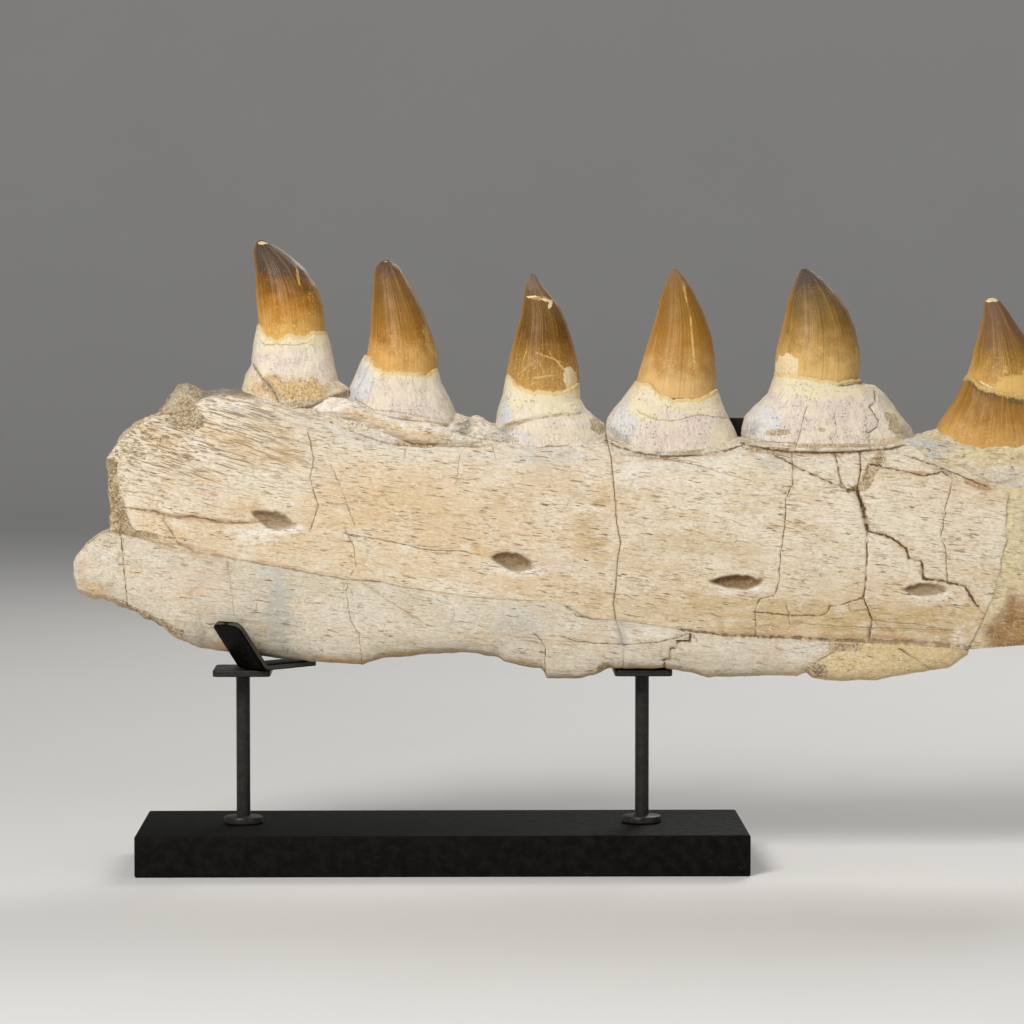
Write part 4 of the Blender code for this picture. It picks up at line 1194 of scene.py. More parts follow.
def bone_streaks(tree, place, colour, strength):
    """Streak pits of four sizes; returns the colour and the height they leave."""
    fibre = mask(tree, "fibre")
    fine = place_group(tree, STREAKS, Vector=place, Length=4.5, Width=0.62, Cover=0.535)
    middle = place_group(tree, STREAKS, Vector=place, Length=7.0, Width=0.85, Cover=0.61, Slope=0.14)
    sparse = place_group(tree, STREAKS, Vector=place, Length=8.5, Width=0.95, Cover=0.672, Slope=0.16)
    long = place_group(tree, STREAKS, Vector=place, Length=17.0, Width=0.78, Cover=0.545, Slope=0.30)
    clusters = between(tree, noise(tree, place, 0.09, 3.0, 0.6), 0.34, 0.62, 0.30, 1.0)
    fine_dark = times(tree, fine.outputs["Streaks"], times(tree, clusters, strength))
    colour = mix_colour(tree, fine_dark, colour, (0.43, 0.31, 0.175))
    middle_dark = times(tree, middle.outputs["Streaks"], times(tree, clusters, min(1.0, strength * 1.5)))
    colour = mix_colour(tree, middle_dark, colour, (0.36, 0.25, 0.13))
    big_dark = times(tree, sparse.outputs["Streaks"], min(1.0, strength * 1.9))
    colour = mix_colour(tree, big_dark, colour, (0.20, 0.13, 0.065))
    long_dark = times(tree, long.outputs["Streaks"], times(tree, fibre, 0.85))
    colour = mix_colour(tree, long_dark, colour, (0.30, 0.215, 0.125))
    height = times(tree, fine.outputs["Height"], -0.6)
    for dark, depth in ((middle_dark, 0.5), (big_dark, 0.9), (long_dark, 0.9)):
        height = minus(tree, height, times(tree, dark, depth))
    return colour, height


def rock_finish():
    """Bare sandy rock."""
    made, tree, shader = new_material("sandy_rock")
    place = in_mm(tree)
    rock = place_group(tree, ROCK_GRAIN, Vector=place)
    crust = between(tree, noise(tree, place, 0.12, 5.0, 0.7), 0.38, 0.62, 0.05, 0.55)
    colour = mix_colour(tree, crust, rock.outputs["Colour"], (0.70, 0.60, 0.44))
    specks = between(tree, noise(tree, place, 0.85, 3.0, 0.7), 0.57, 0.65, 0.0, 0.7)
    colour = mix_colour(tree, specks, colour, (0.20, 0.145, 0.085))
    dull = between(tree, crust, 0.0, 0.5, 0.95, 0.85)
    set_surface(tree, shader, colour, dull, bump_from(tree, rock.outputs["Height"], 1.0), 0.2)
    return made


def around_tooth(tree, fine, long):
    """Place on a tooth: round it and up it, so that lines run from neck to tip."""
    parts = {0: mask(tree, "round_x"), 1: mask(tree, "round_y"), 2: mask(tree, "rise")}
    place = node(tree, "ShaderNodeCombineXYZ", parts).outputs[0]
    return node(tree, "ShaderNodeMapping", {"Vector": place, "Scale": (fine, fine, long)}).outputs[0]


def enamel_finish(name, neck, low, middle, high, tip, tip_at):
    """Amber enamel, darker and greyer to the tip, with fine lines from neck to tip."""
    made, tree, shader = new_material(name)
    place = in_mm(tree)
    cloudy = noise(tree, place, 0.13, 3.0, 0.6)
    waver = times(tree, minus(tree, cloudy, 0.5), 0.45)
    lifted = plus(tree, mask(tree, "rise"), waver)
    colour = mix_colour(tree, between(tree, lifted, 0.0, 0.36), neck, low)
    colour = mix_colour(tree, between(tree, lifted, 0.28, 0.54), colour, middle)
    colour = mix_colour(tree, between(tree, lifted, 0.50, 0.76), colour, high)
    colour = mix_colour(tree, between(tree, lifted, tip_at - 0.06, tip_at + 0.08), colour, tip)
    # Painted light: lighter amber along the two cutting edges, for light shining through the thin enamel
    # there.
    side = between(tree, math_node(tree, "ABSOLUTE", mask(tree, "round_x")), 0.86, 1.0, 0.0, 0.42)
    colour = mix_colour(tree, side, colour, (0.58, 0.31, 0.08))
    fine_lines = noise(tree, around_tooth(tree, 24.0, 1.0), 1.0, 3.0, 0.62)
    colour = mix_colour(tree, between(tree, fine_lines, 0.50, 0.70, 0.0, 0.33), colour, (0.60, 0.38, 0.12))
    shade = tuple(value * 0.55 for value in high)
    colour = mix_colour(tree, between(tree, fine_lines, 0.48, 0.30, 0.0, 0.31), colour, shade)
    grains = noise(tree, place, 0.9, 3.0, 0.7)
    near_neck = between(tree, mask(tree, "rise"), 0.55, 0.05, 0.10, 0.60)
    golden = times(tree, between(tree, grains, 0.52, 0.66), near_neck)
    colour = mix_colour(tree, golden, colour, (0.72, 0.45, 0.13))
    ragged = times(tree, grains, 0.6)
    crust = between(tree, plus(tree, mask(tree, "crust"), grains), 0.98, 1.40, 0.0, 0.75)
    colour = mix_colour(tree, crust, colour, (0.72, 0.46, 0.15))
    edge = between(tree, plus(tree, mask(tree, "bare"), ragged), 0.76, 0.94)
    cream = mix_colour(tree, between(tree, grains, 0.40, 0.62), (0.70, 0.55, 0.31), (0.80, 0.68, 0.44))
    colour = mix_colour(tree, edge, colour, cream)
    height = minus(tree, fine_lines, times(tree, edge, 0.8))
    height = minus(tree, height, times(tree, grains, crust))
    worn = larger(tree, between(tree, cloudy, 0.35, 0.65, 0.40, 0.54), times(tree, edge, 0.8))
    set_surface(tree, shader, colour, worn, bump_from(tree, height, 0.24, 0.7), 0.20)
    return made


def root_finish(name, collar, body, blush, flank):
    """The bone that carries a crown: a cream collar and a blushed body brushed with upright lines."""
    made, tree, shader = new_material(name)
    place = in_mm(tree)
    cloudy = noise(tree, place, 0.13, 4.0, 0.6)
    colour = mix_colour(tree, between(tree, cloudy, 0.42, 0.60), body, blush)
    lifted = plus(tree, mask(tree, "rise"), times(tree, cloudy, 0.35))
    colour = mix_colour(tree, between(tree, lifted, 0.90, 1.06), colour, collar)
    tints = (
        ("blue", flank, 0.75), ("warm", (0.66, 0.45, 0.215), 0.8), ("pink", (0.70, 0.55, 0.475), 0.55),
        ("filler", (0.76, 0.66, 0.445), 1.0), ("grey", (0.24, 0.235, 0.20), 0.9),
        ("tan", (0.70, 0.48, 0.215), 0.7),
    )
    for kind, tint, most in tints:
        uneven = times(tree, mask(tree, kind), between(tree, cloudy, 0.32, 0.58, 0.35, most))
        colour = mix_colour(tree, uneven, colour, tint)
    plastered = between(tree, mask(tree, "filler"), 0.3, 0.9, 1.0, 0.25)
    upright = noise(tree, around_tooth(tree, 34.0, 7.0), 1.0, 3.0, 0.7)
    upright = mix_values(tree, plastered, 0.5, upright)
    colour = mix_colour(tree, between(tree, upright, 0.53, 0.66, 0.0, 0.48), colour, (0.50, 0.40, 0.33))
    colour = mix_colour(tree, between(tree, upright, 0.47, 0.34, 0.0, 0.50), colour, (0.86, 0.79, 0.66))
    dusted = between(tree, noise(tree, place, 0.13, 2.0), 0.42, 0.60, 0.25, 1.0)
    pores = between(tree, noise(tree, place, 1.0, 3.0, 0.65), 0.60, 0.66, 0.0, 0.80)
    pores = times(tree, pores, dusted)
    colour = mix_colour(tree, pores, colour, (0.27, 0.20, 0.125))
    torn = plus(tree, mask(tree, "bare"), noise(tree, place, 0.55, 4.0, 0.7))
    colour = mix_colour(tree, between(tree, torn, 0.95, 1.35, 0.0, 0.85), colour, (0.72, 0.53, 0.24))
    skin = place_group(tree, CRACKED_SKIN, Vector=place, Size=6.0, Thickness=0.03)
    colour = mix_colour(tree, times(tree, skin.outputs["Lines"], 0.22), colour, (0.34, 0.26, 0.18))
    rock_here, rock_colour, rock_height = stony_places(tree, place, 0.75, 1.15)
    colour = mix_colour(tree, rock_here, colour, mix_colour(tree, 0.35, rock_colour, (0.60, 0.50, 0.34)))
    granular = between(tree, noise(tree, place, 0.62, 4.0, 0.8), 0.51, 0.60, 0.0, 0.85)
    grains = times(tree, mask(tree, "warm"), granular)
    colour = mix_colour(tree, grains, colour, mix_colour(tree, 0.65, rock_colour, (0.52, 0.335, 0.14)))
    colour, line_here = draw_cracks(tree, place, colour)
    height = minus(tree, minus(tree, times(tree, upright, 0.8), pores), line_here)
    height = plus(tree, height, times(tree, rock_height, larger(tree, rock_here, grains)))
    dull = between(tree, cloudy, 0.3, 0.7, 0.62, 0.82)
    set_surface(tree, shader, colour, dull, bump_from(tree, height, 0.45, 0.85), 0.28)
    return made


def paint_finish(name, colour, roughness, gloss, grain_scale, worn_colour, wear):
    """Satin black paint with fine grain, scratches and small worn spots."""
    made, tree, shader = new_material(name)
    place = in_mm(tree)
    cloudy = noise(tree, place, grain_scale, 4.0, 0.6)
    dust = tuple(value * 1.8 + 0.004 for value in colour)
    dusty = mix_colour(tree, between(tree, cloudy, 0.35, 0.7, 0.0, 0.6), colour, dust)
    scratch = noise(tree, stretched(tree, place, (0.25, 2.0, 2.0), 0.7), 1.0, 2.0, 0.6, 0.4)
    scratch = between(tree, scratch, 0.70, 0.735)
    spots = between(tree, noise(tree, place, 0.75, 3.0, 0.75), 0.70 - wear, 0.74 - wear)
    bare = larger(tree, times(tree, scratch, 0.6), spots)
    # Lighter where the mesh marks its edges: worn paint, and painted light on the clip's lit side faces.
    rubbed = plus(tree, mask(tree, "rubbed"), times(tree, cloudy, 0.8))
    bare = larger(tree, bare, between(tree, rubbed, 1.05, 1.35, 0.0, 0.7))
    worn = mix_colour(tree, bare, dusty, worn_colour)
    dull = between(tree, cloudy, 0.3, 0.7, roughness - 0.06, roughness + 0.1)
    height = minus(tree, noise(tree, place, 1.6, 2.0), bare)
    set_surface(tree, shader, worn, dull, bump_from(tree, height, 0.06, 0.6), gloss)
    return made


# ================================================================ pieces of the jaw
def make_bones():
    """Three lengths of the upper bone between its breaks, the ledges on its rim and the lower bone."""
    upper = bone_finish(
        "upper_bone", light=(0.740, 0.652, 0.508), deep=(0.668, 0.535, 0.365),
        plaster=(0.67, 0.56, 0.325), streak_strength=0.66, hairline_strength=0.40,
    )
    lower = bone_finish(
        "lower_bone", light=(0.655, 0.59, 0.482), deep=(0.59, 0.525, 0.405),
        plaster=(0.70, 0.535, 0.27), streak_strength=0.50, hairline_strength=0.62,
    )
    lengths = (
        ("jaw_bone_rear", UPPER_REAR, MID_BREAK, 330, 284),
        ("jaw_bone_middle", MID_BREAK, FRONT_BREAK, 300, 316),
        ("jaw_bone_front", FRONT_BREAK, FRONT_END, 300, 316),
    )
    for name, start, end, rows, columns in lengths:
        shape = bone_shape(upper_section, start, end, UPPER_CAP)
        closed_skin(name, rows, columns, shape, upper, "bone", ["dentary"], bone_relief, upper_marks,
                    hold_edges, BONE_SHARP)
    for index, ledge in enumerate(LEDGES):
        make_ledge(f"rim_ledge_{index + 1}", ledge, upper)
    shape = bone_shape(lower_section, *LOWER_ENDS, LOWER_CAP)
    closed_skin("jaw_bone_lower", 380, 250, shape, lower, "splenial_bone", ["splenial"], bone_relief,
                lower_marks, hold_edges, BONE_SHARP)


# ================================================================ pieces of the teeth
def crown_shape(tooth, low, high):
    """A crown from a little under its enamel line, at low, up to its tip."""
    dome = max(1.0, (tooth.right[-1][0] - tooth.left[-1][0]) / 2)  # height over which the tip rounds off

    def shape(along, turn):
        rise = 1 - along
        z = low + (high - low) * (1 - (1 - rise) ** 1.15)
        closing = np.clip(rise / 0.04, 0, 1) * np.sqrt(1 - np.clip(1 - (high - z) / dome, 0, 1) ** 2)
        angle = 2 * math.pi * turn
        left, right = soft_line(flip(tooth.left), z, 1.0), soft_line(flip(tooth.right), z, 1.0)
        share = np.clip((z - low) / (high - low), 0, 1)
        half = (right - left) / 2 * closing
        keel = 1 + EDGE_PROUD * np.exp(-(np.sin(angle) / EDGE_SPREAD) ** 2)
        facets = 1 + 0.012 * np.cos(FACETS * angle + 0.6)
        x = (right + left) / 2 + half * np.cos(angle) * keel * 0.985
        y = CROWN_INWARD * share ** 2 + half * CROWN_DEPTH * np.sin(angle) * facets
        return x, y, z

    return shape


def neck_at(tooth, x):
    """Height of the uneven line where the enamel begins."""
    uneven = 0.26 * np.sin(x * 0.61) + 0.20 * np.sin(x * 1.27 + 1) + 0.12 * np.sin(x * 2.6)
    return soft_line(tooth.neck, x, 0.8) + uneven


def round_marks(turn, rise):
    """Masks from which a tooth's finish reads the place round it and up it."""
    angle = 2 * math.pi * turn
    return {"round_x": np.cos(angle), "round_y": np.sin(angle), "rise": rise}


# Places on each crown where the enamel is chipped off, or crusted gold.
CHIPS = [
    {"bare": [(-168, 314.2, 4.5, 1.6, 0, 1.3)],
     "crust": [(-150, 297, 1, 7, 12, 0.8), (-142, 284, 3.2, 17, 14, 0.55), (-158, 271, 14, 4, 0, 0.6)]},
    {"bare": [(-107, 304.8, 4.5, 1.1, 0, 1.1), (-92, 292, 0.7, 6, 18, 0.8), (-80.6, 256, 0.9, 6, 0, 0.8)],
     "crust": [(-84, 262, 2.6, 16, 14, 0.7)]},
    {"bare": [(-33.4, 286.8, 6.5, 0.9, -2, 0.75), (-25.6, 285, 3.4, 0.9, -14, 0.8),
              (-23.4, 282.8, 0.9, 2.2, -20, 1.4), (-13.6, 245.8, 4.4, 6.6, -10, 1.5)],
     "crust": [(-29, 286, 11, 1.8, -6, 0.75), (-37, 250, 9, 0.7, 44, 0.95),
               (-28, 246.6, 11, 0.7, 8, 0.95), (-19, 253, 9, 0.6, -48, 0.9), (-33, 243, 8, 0.7, 24, 0.9),
               (-23, 256, 10, 0.6, -20, 0.8), (-36, 258, 6, 0.6, 70, 0.8), (-28, 251, 7, 0.6, -62, 0.8)]},
    {"crust": [(44.4, 290, 0.9, 14, 9, 0.8), (47.6, 266, 0.9, 17, 4, 0.84), (49, 248, 0.8, 9, 2, 0.7),
               (30, 248, 6, 2, 40, 0.7)]},
    {"bare": [(95, 251, 6.4, 8.8, -16, 1.7), (97.6, 291, 0.8, 9, -20, 0.8)],
     "crust": [(131, 254, 1.6, 12, 0, 1), (104, 288, 12, 10, 0, 0.35)]},
    {"bare": [(200.4, 285.6, 5.5, 2.4, 0, 1.6), (217, 243, 17, 5.5, 6, 0.44),
              (196, 241.5, 9, 1.8, -30, 0.9)],
     "crust": [(214, 243, 22, 9, 6, 1.2)]},
]
CRUST_HEIGHTS = (3.5, 2.6, 3.0, 3.6, 2.4, 7.0)
# Breaks in each root.
ROOT_BREAKS = [
    [Break(0.22, 0.3, 0.5, [(-169, 265), (-166.8, 262.4), (-160.8, 263), (-151.2, 262.4), (-143.8, 264)]),
     Break(0.45, 0.9, 0.7, [(-173.5, 253.6), (-168.3, 246.9), (-161.7, 239.5), (-158.7, 232.9)])],
    [Break(0.3, 0.3, 0.4, [(-122, 236), (-112, 230), (-98, 229), (-84, 226)]),
     Break(0.3, 0.4, 0.3, [(-113, 256), (-116, 250), (-120, 242), (-122, 236)])],
    [Break(0.6, 0.6, 0.55, [(-46.7, 222), (-39, 224.4), (-28, 226.5), (-20.3, 227.8), (-8.4, 228.6)])],
    [Break(0.22, 0.3, 0.5, [(19.7, 229.6), (29, 225.2), (40, 224.9), (51, 227.8), (65.5, 225.7)])],
    [Break(0.24, 0.4, 0.7, [(104.4, 231.6), (103, 227.8), (101, 218.5), (98.8, 211)]),
     Break(0.28, 0.5, 0.8, [(139, 239), (139.4, 234.4), (136.2, 231.6), (140.8, 225), (139.4, 221.4),
                            (135.3, 218.6), (136.2, 209)]),
     Break(0.2, 0.3, 0.7, [(134.2, 229.7), (134.2, 215)]),
     Break(0.2, 0.3, 0.6, [(118, 228), (119, 220), (117.5, 214)]),
     Break(0.3, 0.4, 0.7, [(122, 242.4), (131, 243.6), (138, 242.6)]),
     Break(0.3, 0.4, 0.6, [(74, 216), (86, 214), (98, 213.5)])],
    [Break(0.3, 0.3, 0.4, [(186, 242), (180, 230), (175.5, 221)])],
]
ROOT_PATCHES = [
    {"warm": [(-150, 241.5, 26, 7.5, -6, 1.5), (-172, 239, 7, 5, 0, 1)],
     "tan": [(-150, 240, 22, 5, -8, 0.9)],
     "rock": [(-164, 242, 3, 11, 48, 0.9), (-135, 241, 5, 6, 0, 0.6), (-150, 233.5, 24, 2, 6, 0.9)],
     "pink": [(-158, 257, 11, 5, 0, 0.7)],
     "filler": [(-176, 241, 4, 7, -20, 0.9), (-152, 265.5, 18, 3.4, 0, 0.9)]},
    {"blue": [(-119, 243, 7, 16, -20, 1.5)],
     "pink": [(-100, 238, 16, 9, 0, 1)],
     "warm": [(-107, 247, 3, 4, 0, 0.5)],
     "rock": [(-120, 233, 5, 5, 0, 0.6)],
     "filler": [(-90, 249, 12, 2.6, 0, 0.8)]},
    {"rock": [(-40, 223.6, 11, 1.8, 12, 0.8), (0, 222, 4, 8, 20, 1)],
     "blue": [(-47, 228, 4.5, 13, -12, 1.3), (-40, 217, 12, 4, 0, 0.8)],
     "pink": [(-18, 219, 17, 6, 0, 0.4)],
     "grey": [(-46, 220.6, 7, 2.6, 30, 0.9), (2, 220, 3, 4, 0, 0.6)],
     "filler": [(-24, 236, 26, 9.5, 0, 1.5), (-20, 219, 20, 5, 0, 0.6)]},
    {"blue": [(12, 224, 9, 12, -34, 1)],
     "pink": [(39, 218, 18, 8, 0, 1.2)],
     "grey": [(10, 217, 9, 3.6, -40, 0.7), (36, 208.6, 34, 1.3, 0, 0.9)],
     "rock": [(50, 209.6, 24, 1.6, 8, 1)],
     "filler": [(42, 233.5, 27, 6.5, 0, 1.5), (24, 230, 11, 7, -24, 1.3), (62, 216, 8, 8, 20, 0.9)]},
    {"blue": [(82, 224, 10, 14, -20, 1.25)],
     "pink": [(116, 228, 24, 8, 0, 1.1)],
     "rock": [(149, 222, 4.5, 11, 26, 1), (112, 212.4, 40, 1.4, 0, 1.1), (90, 219, 8, 2.4, 0, 0.9),
              (112, 220, 3, 2, 0, 0.8)],
     "warm": [(146, 214, 12, 3, 0, 0.8)],
     "grey": [(77, 220, 4, 8, -24, 0.7), (154, 218, 4, 6, 20, 0.7)],
     "filler": [(110, 240, 25, 5.5, 0, 1.4), (150, 226, 5, 11, 34, 0.8)]},
    {"rock": [(184, 214, 12, 2, -24, 0.6)]},
]


def crown_relief(points, along, turn):
    """Fine lines from neck to tip, and small chips along the two cutting edges."""
    angle = 2 * math.pi * turn
    ring = np.stack([np.cos(angle) * 17, np.sin(angle) * 17, (1 - along) * 1.3], axis=1)
    lines = 0.07 * bumps(ring * 1.6, 1.0, 51) + 0.05 * bumps(ring * 3, 1.0, 52)
    chips = 0.25 * fade(bumps(points, 3.2, 53), 0.55, 0.8) * fade(np.abs(np.sin(angle)), 0.35, 0.1)
    return lines + 0.16 * bumps(points, 11, 54) - chips


def root_shape(tooth, proud):
    """A root from inside the jaw up to the enamel line; its foot stands proud of the jaw's walls."""
    neck_low = min(point[1] for point in tooth.neck)
    foot_top = max(point[1] for point in tooth.foot)

    def shape(along, turn):
        inner, outer = 0.10, 0.08  # shares of the rows that close the bottom and the top
        rise = np.clip(((1 - along) - inner) / (1 - inner - outer), 0, 1)
        bottom = np.clip((1 - along) / inner, 0, 1)
        top = np.clip(along / outer, 0, 1)
        angle = 2 * math.pi * turn
        level = np.full(len(along), 0.5 * (neck_low + foot_top))
        for _ in range(4):  # x and the height settle each other
            left = line(flip(tooth.root_left), level)
            right = line(flip(tooth.root_right), level)
            x = (left + right) / 2 + (right - left) / 2 * np.cos(angle)
            foot = line(tooth.foot, x)
            neck = neck_at(tooth, x)
            level = foot + (neck - foot) * rise
        neck_half = (tooth.root_right[-1][0] - tooth.root_left[-1][0]) / 2 * CROWN_DEPTH + COLLAR
        swelling = ROOT_SWELL * np.sin(math.pi * np.clip(rise * 1.3, 0, 1))
        wall = np.where(np.sin(angle) < 0, -outer_wall(x, foot), inner_wall(x, foot - INNER_RIM_DROP))
        depth = wall + proud + (neck_half - wall) * rise ** 0.8 + swelling
        square = squarish(np.sin(angle), 0.55 + 0.30 * rise)
        y = depth * square * (1 - 0.12 * fade(1 - bottom, 0.0, 0.14))
        z = level - ROOT_SUNK * (1 - bottom) - COLLAR_DIP * (1 - top)
        closing = np.minimum(1, bottom * 3) ** 0.5 * top ** 0.7
        x = (left + right) / 2 + (x - (left + right) / 2) * closing
        return x, y * closing, z

    return shape


def root_relief(breaks):
    """Low bumps and the breaks of one root."""
    def relief(points, along, turn):
        x, y, z = points.T
        outside = outer_share(y)
        amount = 0.42 * bumps(points, 12, 61) + 0.20 * bumps(points, 4, 62) + 0.10 * bumps(points, 1.8, 63)
        for crack in breaks:
            off = from_path(x, z + 0.5 * bumps(points, 4, 64), crack.path)
            amount -= crack.depth * np.exp(-((off / (crack.half * 1.3)) ** 2)) * outside
        return amount

    return relief


# Each enamel's name, its five colours from neck to tip, and the share of height where the last begins.
ENAMELS = (
    ("amber_enamel", (0.615, 0.355, 0.092), (0.405, 0.170, 0.020), (0.170, 0.070, 0.009),
     (0.095, 0.040, 0.017), (0.070, 0.044, 0.034), 0.63),
    ("ochre_enamel", (0.655, 0.37, 0.120), (0.32, 0.140, 0.018), (0.248, 0.113, 0.015),
     (0.171, 0.080, 0.018), (0.105, 0.057, 0.031), 0.86),
    ("smoky_enamel", (0.44, 0.25, 0.075), (0.26, 0.122, 0.020), (0.126, 0.052, 0.003),
     (0.139, 0.069, 0.016), (0.168, 0.118, 0.087), 0.84),
    ("honey_enamel", (0.69, 0.445, 0.185), (0.415, 0.208, 0.048), (0.320, 0.142, 0.016),
     (0.238, 0.112, 0.015), (0.232, 0.136, 0.085), 0.88),
    ("olive_enamel", (0.72, 0.475, 0.178), (0.39, 0.223, 0.060), (0.224, 0.118, 0.025),
     (0.147, 0.087, 0.032), (0.078, 0.056, 0.047), 0.80),
    ("brown_enamel", (0.60, 0.345, 0.10), (0.29, 0.145, 0.023), (0.205, 0.099, 0.032),
     (0.163, 0.083, 0.040), (0.155, 0.083, 0.050), 0.85),
)
DENTINE = (
    "brown_dentine", (0.56, 0.32, 0.095), (0.47, 0.250, 0.064), (0.34, 0.163, 0.030),
    (0.26, 0.125, 0.023), (0.15, 0.080, 0.030), 0.84,
)


def make_crown(index, tooth, finish):
    """A crown with its small chips and a gold crust above its neck."""
    low = min(point[1] for point in tooth.neck) - CROWN_BELOW
    high = max(tooth.left[-1][1], tooth.right[-1][1]) + CROWN_ABOVE

    def marks(points, along, turn):
        x, y, z = points.T
        neck = neck_at(tooth, x)
        made = round_marks(turn, np.clip((z - neck) / (high - neck), 0, 1))
        inward = CROWN_INWARD * np.clip((z - low) / (high - low), 0, 1) ** 2
        spots = patch_marks(points, CHIPS[index], outer_share(y - inward))
        made["crust"] = np.maximum(0.75 * fade(z - neck, CRUST_HEIGHTS[index], 0.4), spots["crust"])
        made["bare"] = np.maximum(0.52 * fade(z - neck, 1.6, 0.2), spots["bare"])
        return made

    closed_skin(f"crown_{index + 1}", *CROWN_MESH, crown_shape(tooth, low, high), finish, "enamel",
                [f"tooth_{index + 1}"], crown_relief, marks)


def make_root(index, tooth, finish, slot, torn):
    """A root; torn is how strongly the bare edge under the enamel shows."""
    def marks(points, along, turn):
        x, y, z = points.T
        outside = outer_share(y)
        foot, neck = line(tooth.foot, x), neck_at(tooth, x)
        made = round_marks(turn, np.clip((z - foot) / (neck - foot), 0, 1))
        made.update(crack_marks(points, ROOT_BREAKS[index], outside))
        made.update(patch_marks(points, ROOT_PATCHES[index], outside))
        # Along the foot: rock colour, partly rock fill and partly painted shade in the crease where the
        # root meets the jaw.
        foot_rock_and_shade = fade(z - foot, 3.0, 0.2) * np.clip(0.45 + bumps(points, (6, 4, 4), 66), 0, 0.9)
        raise_mask(made, "rock", foot_rock_and_shade)
        made["bare"] = torn * fade(neck - z, 3.4, 1.2)
        made["crust"] = 0.9 * fade(neck - z, 5.0, 1.0)
        return made

    closed_skin(f"root_{index + 1}", *ROOT_MESH, root_shape(tooth, ROOT_PROUD[index]), finish, slot,
                ["dentary"], root_relief(ROOT_BREAKS[index]), marks)


def make_teeth():
    """Crowns and roots; the front tooth's root is bare dentine."""
    enamels = [enamel_finish(*colours) for colours in ENAMELS]
    bone = root_finish(
        "root_bone", collar=(0.77, 0.67, 0.45), body=(0.75, 0.66, 0.51), blush=(0.69, 0.585, 0.505),
        flank=(0.60, 0.62, 0.635),
    )
    roots = [(bone, "bone", 0.9)] * (len(TEETH) - 1) + [(enamel_finish(*DENTINE), "enamel", 0.46)]
    for index, (tooth, enamel, root) in enumerate(zip(TEETH, enamels, roots)):
        make_crown(index, tooth, enamel)
        make_root(index, tooth, *root)


def make_ledge(name, ledge, finish):
    """A rough ledge along the outer rim."""
    start, end = ledge.spine[0][0], ledge.spine[-1][0]

    def shape(along, turn):
        x = start + (end - start) * along
        closing = np.clip(np.minimum(along, 1 - along) / 0.05, 0, 1) ** 0.5
        angle = 2 * math.pi * turn
        half = soft_line(ledge.half, x, 2)
        y = LEDGE_DEPTH * squarish(np.sin(angle), 0.7) * closing - line(ledge.out, x)
        z = soft_line(ledge.spine, x, 3) + half * np.cos(angle) * closing
        return x, y, z

    def relief(points, along, turn):
        lumps = 0.75 * rough(points, (11, 5, 4), 75, 2) + 0.35 * rough(points, (3.4, 2, 1.6), 78, 2)
        return lumps * fade(np.minimum(along, 1 - along), 0.0, 0.08)

    closed_skin(name, 180, 72, shape, finish, "bone", ["dentary"], relief, ledge_marks)


def make_lump():
    """The lump of rock on the upper rear corner."""
    def shape(along, turn):
        x = LUMP_RIDGE[0][0] + (LUMP_RIDGE[-1][0] - LUMP_RIDGE[0][0]) * along
        closing = np.sin(math.pi * np.clip(along, 0, 1)) ** 0.5
        top = soft_line(LUMP_RIDGE, x, 1.5)
        floor = soft_line(CREST, x, 3) - LUMP_SUNK
        angle = 2 * math.pi * turn
        y = LUMP_HALF * np.cos(angle) * closing
        z = (top + floor) / 2 + (top - floor) / 2 * np.sin(angle) * closing
        return x, y, z

    def relief(points, along, turn):
        return 1.9 * rough(points, 9, 71, 3) + 0.55 * rough(points, 2.4, 76, 2)

    closed_skin("rock_lump", 90, 130, shape, rock_finish(), "matrix", ["matrix_lump"], relief)


# ================================================================ pieces of the stand
def set_down(name, bm, finish, nodes):
    """A stand piece from a bmesh in millimetres."""
    finish_piece(name, mesh_from_mm(name, bm), finish, nodes, PLATE_SHARP)


def soften(bm, edges, width, steps):
    """Round the edges off."""
    bmesh.ops.bevel(bm, geom=edges, offset=width, segments=steps, profile=0.5, affect="EDGES", material=-1)


def plate(size, middle, corner, edge, flat_axis):
    """A plate with rounded corners and softened edges; flat_axis is the axis of its thickness."""
    bm = bmesh.new()
    bmesh.ops.create_cube(bm, size=1.0)
    bmesh.ops.scale(bm, vec=Vector(size), verts=bm.verts)
    if corner:
        long_enough = size[flat_axis] * 0.5
        standing = [e for e in bm.edges if abs((e.verts[0].co - e.verts[1].co)[flat_axis]) > long_enough]
        soften(bm, standing, corner, 6)
    soften(bm, [e for e in bm.edges if e.calc_face_angle(0) > math.radians(60)], edge, 3)
    bmesh.ops.translate(bm, vec=Vector(middle), verts=bm.verts)
    return bm


def turned(profile, x, y, sides=48):
    """A round piece spun from its profile of (radius, height) about an upright axis."""
    bm = bmesh.new()
    corners = [bm.verts.new((radius, 0, height)) for radius, height in profile]
    edges = [bm.edges.new(pair) for pair in zip(corners, corners[1:])]
    bmesh.ops.spin(bm, geom=corners + edges, cent=(0, 0, 0), axis=(0, 0, 1), angle=2 * math.pi,
                   steps=sides, use_merge=True)
    bmesh.ops.remove_doubles(bm, verts=bm.verts, dist=0.001)
    bmesh.ops.translate(bm, vec=(x, y, 0), verts=bm.verts)
    return bm


def middle_of(node_name):
    """Middle and size of a node's box in millimetres."""
    low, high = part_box(node_name)
    return [(a + b) / 2 / MM for a, b in zip(low, high)], [(b - a) / MM for a, b in zip(low, high)]


